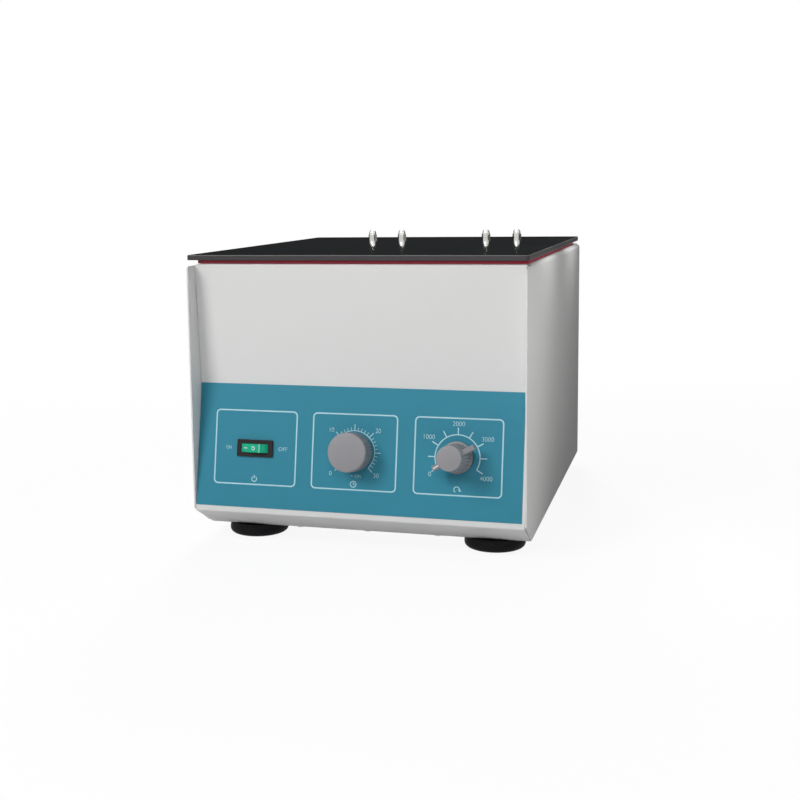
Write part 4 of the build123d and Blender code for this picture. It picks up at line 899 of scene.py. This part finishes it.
def flat_frame(width, height, corner, line):
    """A rounded rectangle drawn as a line, by an inset of one face."""
    bpy.ops.object.select_all(action="DESELECT")
    bpy.ops.mesh.primitive_plane_add(size=1)
    obj = newest("frame_line")
    obj.scale = (width, height, 1)
    bpy.ops.object.transform_apply(scale=True)
    bpy.ops.object.mode_set(mode="EDIT")
    bpy.ops.mesh.select_all(action="SELECT")
    bpy.ops.mesh.bevel(offset=corner, segments=8, affect="VERTICES")
    bpy.ops.mesh.select_all(action="SELECT")
    bpy.ops.mesh.inset(thickness=line)
    bpy.ops.mesh.delete(type="FACE")
    bpy.ops.object.mode_set(mode="OBJECT")
    return obj


def words(text, height, place, width):
    """Digits or a word in thin strokes as a flat mesh, centred on a point."""
    bpy.ops.object.select_all(action="DESELECT")
    bpy.ops.object.text_add()
    obj = bpy.context.view_layer.objects.active
    obj.data.body = text
    obj.data.size = height / CAPITAL
    obj.data.offset = THINNED * obj.data.size
    obj.data.align_x = "CENTER"
    obj.data.align_y = "CENTER"
    bpy.ops.object.convert(target="MESH")
    obj = newest("text")
    middle = sum((Vector(corner) for corner in obj.bound_box), Vector()) / 8
    obj.data.transform(
        Matrix.Translation((*place, 0))
        @ Matrix.Diagonal((width, 1, 1, 1))
        @ Matrix.Translation((-middle.x, -middle.y, 0))
    )
    return obj


def moved(obj, x, y):
    """Shift a flat shape."""
    obj.data.transform(Matrix.Translation((x, y, 0)))
    return obj


# %% [markdown]
# Three frames stand round the three controls. Each has a small sign under its control that says
# what it does: a broken ring with a bar for power, a clock face for time and a ring with an
# arrowhead for speed.

# %% Frames and signs
FRAME_SIZE = (72.0, 62.3)
FRAME_CORNER = 3.8
FRAME_RISE = 0.0
FRAME_CENTRES = (-85.25, 0.05, 85.9)  # right of the timer
SIGN_DROP = -26.0
SIGN_RADIUS = 2.1

power_x, timer_x, speed_x = power_at[0], 0.3, speed_at[0] + 0.3
print_parts = []
border = flat_frame(*FRAME_SIZE, FRAME_CORNER, LINE)
print_parts += [turned(border, 0, (x, FRAME_RISE)) for x in FRAME_CENTRES]
dropped(border)

power_bar = flat_stroke(0.6, SIGN_RADIUS + 1.0, FINE_LINE)
print_parts.append(turned(power_bar, 90, (power_x, SIGN_DROP)))
dropped(power_bar)
print_parts.append(moved(flat_arc(SIGN_RADIUS, FINE_LINE * 0.8, 126, 414), power_x, SIGN_DROP))
print_parts.append(moved(flat_arc(SIGN_RADIUS + 0.3, FINE_LINE * 0.8, 0, 360), timer_x, SIGN_DROP))
hand = flat_stroke(-0.2, SIGN_RADIUS - 0.4, FINE_LINE * 0.7)
print_parts += [turned(hand, angle, (timer_x, SIGN_DROP)) for angle in (90, 0)]
dropped(hand)
print_parts.append(moved(flat_arc(SIGN_RADIUS + 0.2, FINE_LINE * 0.8, -30, 240), speed_x, SIGN_DROP))
barb = flat_stroke(0, 1.7, FINE_LINE * 0.8)
tip_x = speed_x + (SIGN_RADIUS + 0.2) * math.cos(math.radians(-30))
tip_y = SIGN_DROP + (SIGN_RADIUS + 0.2) * math.sin(math.radians(-30))
print_parts += [turned(barb, angle, (tip_x, tip_y)) for angle in (15, 105)]
dropped(barb)
print("frame parts", len(print_parts))

# %% [markdown]
# The timer's scale has a stroke for each minute from 0 to 30 and a longer one for every fifth. The
# speed scale has nine strokes, and every second one has a number.

# %% Scales
TIMER_ARC = 17.35
TIMER_SHORT = 20.1
TIMER_LONG = 22.4
TIMER_START = 225.0
TIMER_STEP = 9.0
SPEED_ARC = 18.15
SPEED_STROKE = 23.9
SPEED_START = 210.0
SPEED_STEP = 30.0
DIGIT_HEIGHT = 3.8

short_stroke = flat_stroke(TIMER_ARC, TIMER_SHORT, 0.5)
long_stroke = flat_stroke(TIMER_ARC, TIMER_LONG, 0.7)
for minute in range(31):
    pattern = short_stroke if minute % 5 else long_stroke
    print_parts.append(turned(pattern, TIMER_START - TIMER_STEP * minute))
dropped(short_stroke)
dropped(long_stroke)
print_parts.append(flat_arc(TIMER_ARC, 0.6, -45, 225))

speed_stroke = flat_stroke(SPEED_ARC, SPEED_STROKE, FINE_LINE)
for mark in range(9):
    print_parts.append(turned(speed_stroke, SPEED_START - SPEED_STEP * mark, speed_at))
dropped(speed_stroke)
print_parts.append(moved(flat_arc(SPEED_ARC, FINE_LINE, -30, 210), *speed_at))

# %% Digits and words
# each word: what it says, the control it belongs to, its place from that control, height and width
WORDS = (
    ("0", timer_at, -19.45, -18.0, DIGIT_HEIGHT, 0.93),
    ("10", timer_at, -19.45, 17.4, DIGIT_HEIGHT, 0.93),
    ("20", timer_at, 19.7, 17.95, DIGIT_HEIGHT, 0.93),
    ("30", timer_at, 19.15, -18.2, DIGIT_HEIGHT, 0.93),
    ("ON", timer_at, 3.75, -19.25, 2.9, 0.86),
    ("0", speed_at, -21.95, -13.9, DIGIT_HEIGHT, 0.97),
    ("1000", speed_at, -23.25, 15.65, DIGIT_HEIGHT, 0.97),
    ("2000", speed_at, 0.3, 26.8, DIGIT_HEIGHT, 0.97),
    ("3000", speed_at, 24.0, 15.35, DIGIT_HEIGHT, 0.97),
    ("4000", speed_at, 23.5, -15.6, DIGIT_HEIGHT, 0.97),
    ("ON", power_at, -23.5, 0.1, 3.1, 0.76),
    ("OFF", power_at, 24.2, 0.1, 3.3, 1.03),
)
for text, control_at, x, y, height, width in WORDS:
    place = (control_at[0] + x, control_at[1] + y)
    print_parts.append(words(text, height, place, width))
print_parts.append(moved(flat_frame(1.1, 1.1, 0.45, 0.35), timer_at[0] - 1.1, timer_at[1] - 19.25))

# %% Lay the print on the label
label_print = joined("panel_print", print_parts)
modify(label_print, "SOLIDIFY", thickness=INK, offset=1)
settle(label_print, on_panel("timer_turn") @ Matrix.Translation((0, 0, (LABEL_THICKNESS + 0.01) * MM)))
ink = Finish("print_ink", srgb(176, 216, 226), 0.4)
ink_cloud = ink.noise(60, 2)
ink.feed("Base Color", ink.mixed(ink_cloud, srgb(166, 208, 220), srgb(184, 222, 230)))
ink.feed("Roughness", 0.34 + 0.12 * ink_cloud)
label_print.data.materials.clear()
label_print.data.materials.append(ink.material)
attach(label_print, "body")
print("print faces", len(label_print.data.polygons))

# %% Rocker marks
on_bar = turned(flat_stroke(-1.7, 1.7, 0.6), 0, (-5.2, 0))
off_ring = moved(flat_arc(1.3, 0.55, 0, 360), 2.2, 0)
dropped(bpy.data.objects["stroke"])
rocker_marks = joined("rocker_marks", [on_bar, off_ring])
modify(rocker_marks, "SOLIDIFY", thickness=INK, offset=1)
tilt = Matrix.Rotation(-ROCKER_TILT, 4, "Y")
settle(
    rocker_marks,
    on_panel("power_rock") @ tilt @ Matrix.Translation((0, 0, (ROCKER_CHORD + 0.01) * MM)),
)
rocker_marks.data.materials.append(PAINT_WHITE.material)
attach(rocker_marks, "power_rocker")
print("rocker marks done")

# %% [markdown]
# ## Floor, background and light
#
# The machine stands on pale paper in front of white. What the camera, a mirror or a lens sees of
# the paper is mostly white that gives off no light, so it stays white out to the horizon, and the
# rest is real paper that takes the machine's shadow. For the light that bounces up to the machine
# the paper is pale in front, which lights the slope under the panel. From the machine's front
# backwards it turns dark, or the shaded side would be as bright as the panel.

# %% Floor
PAPER_SIZE = 12
PAPER_WHITE = 0.9  # share of plain white beside the machine
WHITE_FROM = 0.3  # from the middle, where the share begins to rise
WHITE_RUN = 0.9
MIRROR_REACH = 2.5  # beyond this a mirror sees the dim end of the room
PAPER_SEEN = (0.93, 0.93, 0.93)
BOUNCE_IN_FRONT = (0.8, 0.8, 0.8)
BOUNCE_BEHIND = (0.08, 0.08, 0.08)
BOUNCE_FADE = 0.15  # behind the housing's front

bpy.ops.object.select_all(action="DESELECT")
bpy.ops.mesh.primitive_plane_add(size=PAPER_SIZE, location=(0, 0, cad_low.z))
floor = newest("floor")
paper = Finish("floor_paper", (0.5, 0.5, 0.5), 0.9, Specular_IOR_Level=0.0)
mirrored = paper.ray("Glossy")
seen = (paper.ray("Camera") + mirrored + paper.ray("Transmission")).kept()
inward = paper.node("ShaderNodeSeparateXYZ", {}, {"Vector": paper.place()}, "Y")
behind = ((inward - housing_low.y) / BOUNCE_FADE).kept()
bounce = paper.mixed(behind, BOUNCE_IN_FRONT, BOUNCE_BEHIND)
paper.feed("Base Color", paper.mixed(seen, bounce, PAPER_SEEN))
away = paper.node("ShaderNodeVectorMath", {"operation": "LENGTH"}, {0: paper.place()}, "Value")
share = ((away - WHITE_FROM) / WHITE_RUN).kept() * (1 - PAPER_WHITE) + PAPER_WHITE
near = (MIRROR_REACH - away).kept()
plain = paper.node("ShaderNodeEmission", {}, {"Color": (1, 1, 1, 1), "Strength": 1.0})
whiteness = seen * share * (1 - mirrored * (1 - near))
lit = Value(paper, paper.shader.outputs[0])
sheet = paper.node("ShaderNodeMixShader", {}, {0: whiteness, 1: lit, 2: plain})
output = next(n for n in paper.tree.nodes if n.type == "OUTPUT_MATERIAL")
paper.tree.links.new(sheet.socket, output.inputs["Surface"])
floor.data.materials.append(paper.material)

# %% [markdown]
# The world is white where it is seen directly or through something clear. A mirror sees it white
# too, except low down behind the machine, where the far end of the room is dim: a black lid that
# is seen almost edge-on would otherwise look white. As a lamp, the world is an even grey.

# %% World
AMBIENT = 0.12
DIM_UP_TO = 0.3  # as the sine of the height above the horizon
WHITE_ABOVE = 0.8
DIM_BEHIND = 0.4  # as the share of a direction that points away from the front
DIMMED = 0.98

world = bpy.data.worlds.new("studio")
bpy.context.scene.world = world
world.use_nodes = True
world.node_tree.nodes.clear()
sky = Graph(world.node_tree)
mirrored = sky.ray("Glossy")
seen = (sky.ray("Camera") + sky.ray("Transmission")).kept()
direction = sky.node("ShaderNodeTexCoord", {}, {}, "Generated")
backward, upward = (
    sky.node("ShaderNodeSeparateXYZ", {}, {"Vector": direction}, axis) for axis in "YZ"
)
low = 1 - ((upward - DIM_UP_TO) / (WHITE_ABOVE - DIM_UP_TO)).kept()
room = 1 - DIMMED * low * (backward / DIM_BEHIND).kept()
strength = seen + mirrored * room + (1 - seen - mirrored).kept() * AMBIENT
light = sky.node("ShaderNodeBackground", {}, {"Color": (1, 1, 1, 1), "Strength": strength})
output = sky.tree.nodes.new("ShaderNodeOutputWorld")
sky.tree.links.new(light.socket, output.inputs["Surface"])


# %% Lamps
def softbox(name, place, target, side, watts):
    """A square area lamp that faces a point."""
    bpy.ops.object.light_add(type="AREA", location=place)
    box = newest(name)
    box.data.size = side
    box.data.energy = watts
    box.rotation_euler = (Vector(target) - Vector(place)).to_track_quat("-Z", "Y").to_euler()
    return box


middle = (cad_low + cad_high) / 2
softbox("key", (-1.0, -1.8, 1.4), middle, 0.9, 27)
softbox("fill", (0.13, -0.75, 0.45), middle, 0.25, 0.9)
softbox("top", (-0.4, 0.2, 1.9), middle, 1.2, 6)
# it stands left of the right side's plane, so it lights the back and leaves that side alone
softbox("back", (-0.45, 2.1, 1.5), middle, 0.8, 40)
# small ones close to the right side make it fade towards its foot and towards the back
SMALL_SIDE = 0.08
SMALL_LAMPS = (  # name, place from the middle of the right side, watts
    ("side", Vector((0.21, -0.185, 0.1)), 0.18),
    ("brow front", Vector((0.03, -0.05, 0.15)), 0.042),
    ("brow rear", Vector((0.03, 0.12, 0.15)), 0.055),
)
right_side = Vector((cad_high.x, 0, middle.z))
for name, offset, watts in SMALL_LAMPS:
    level = right_side + Vector((0, offset.y, 0))
    small = softbox(name, right_side + offset, level, SMALL_SIDE, watts)
    small.visible_glossy = False  # or the polished lid shows it as a bright square

# %% [markdown]
# ## Finish
#
# The colours are shown as they are, with no tone curve.

# %% Finish
bpy.context.scene.view_settings.view_transform = "Standard"
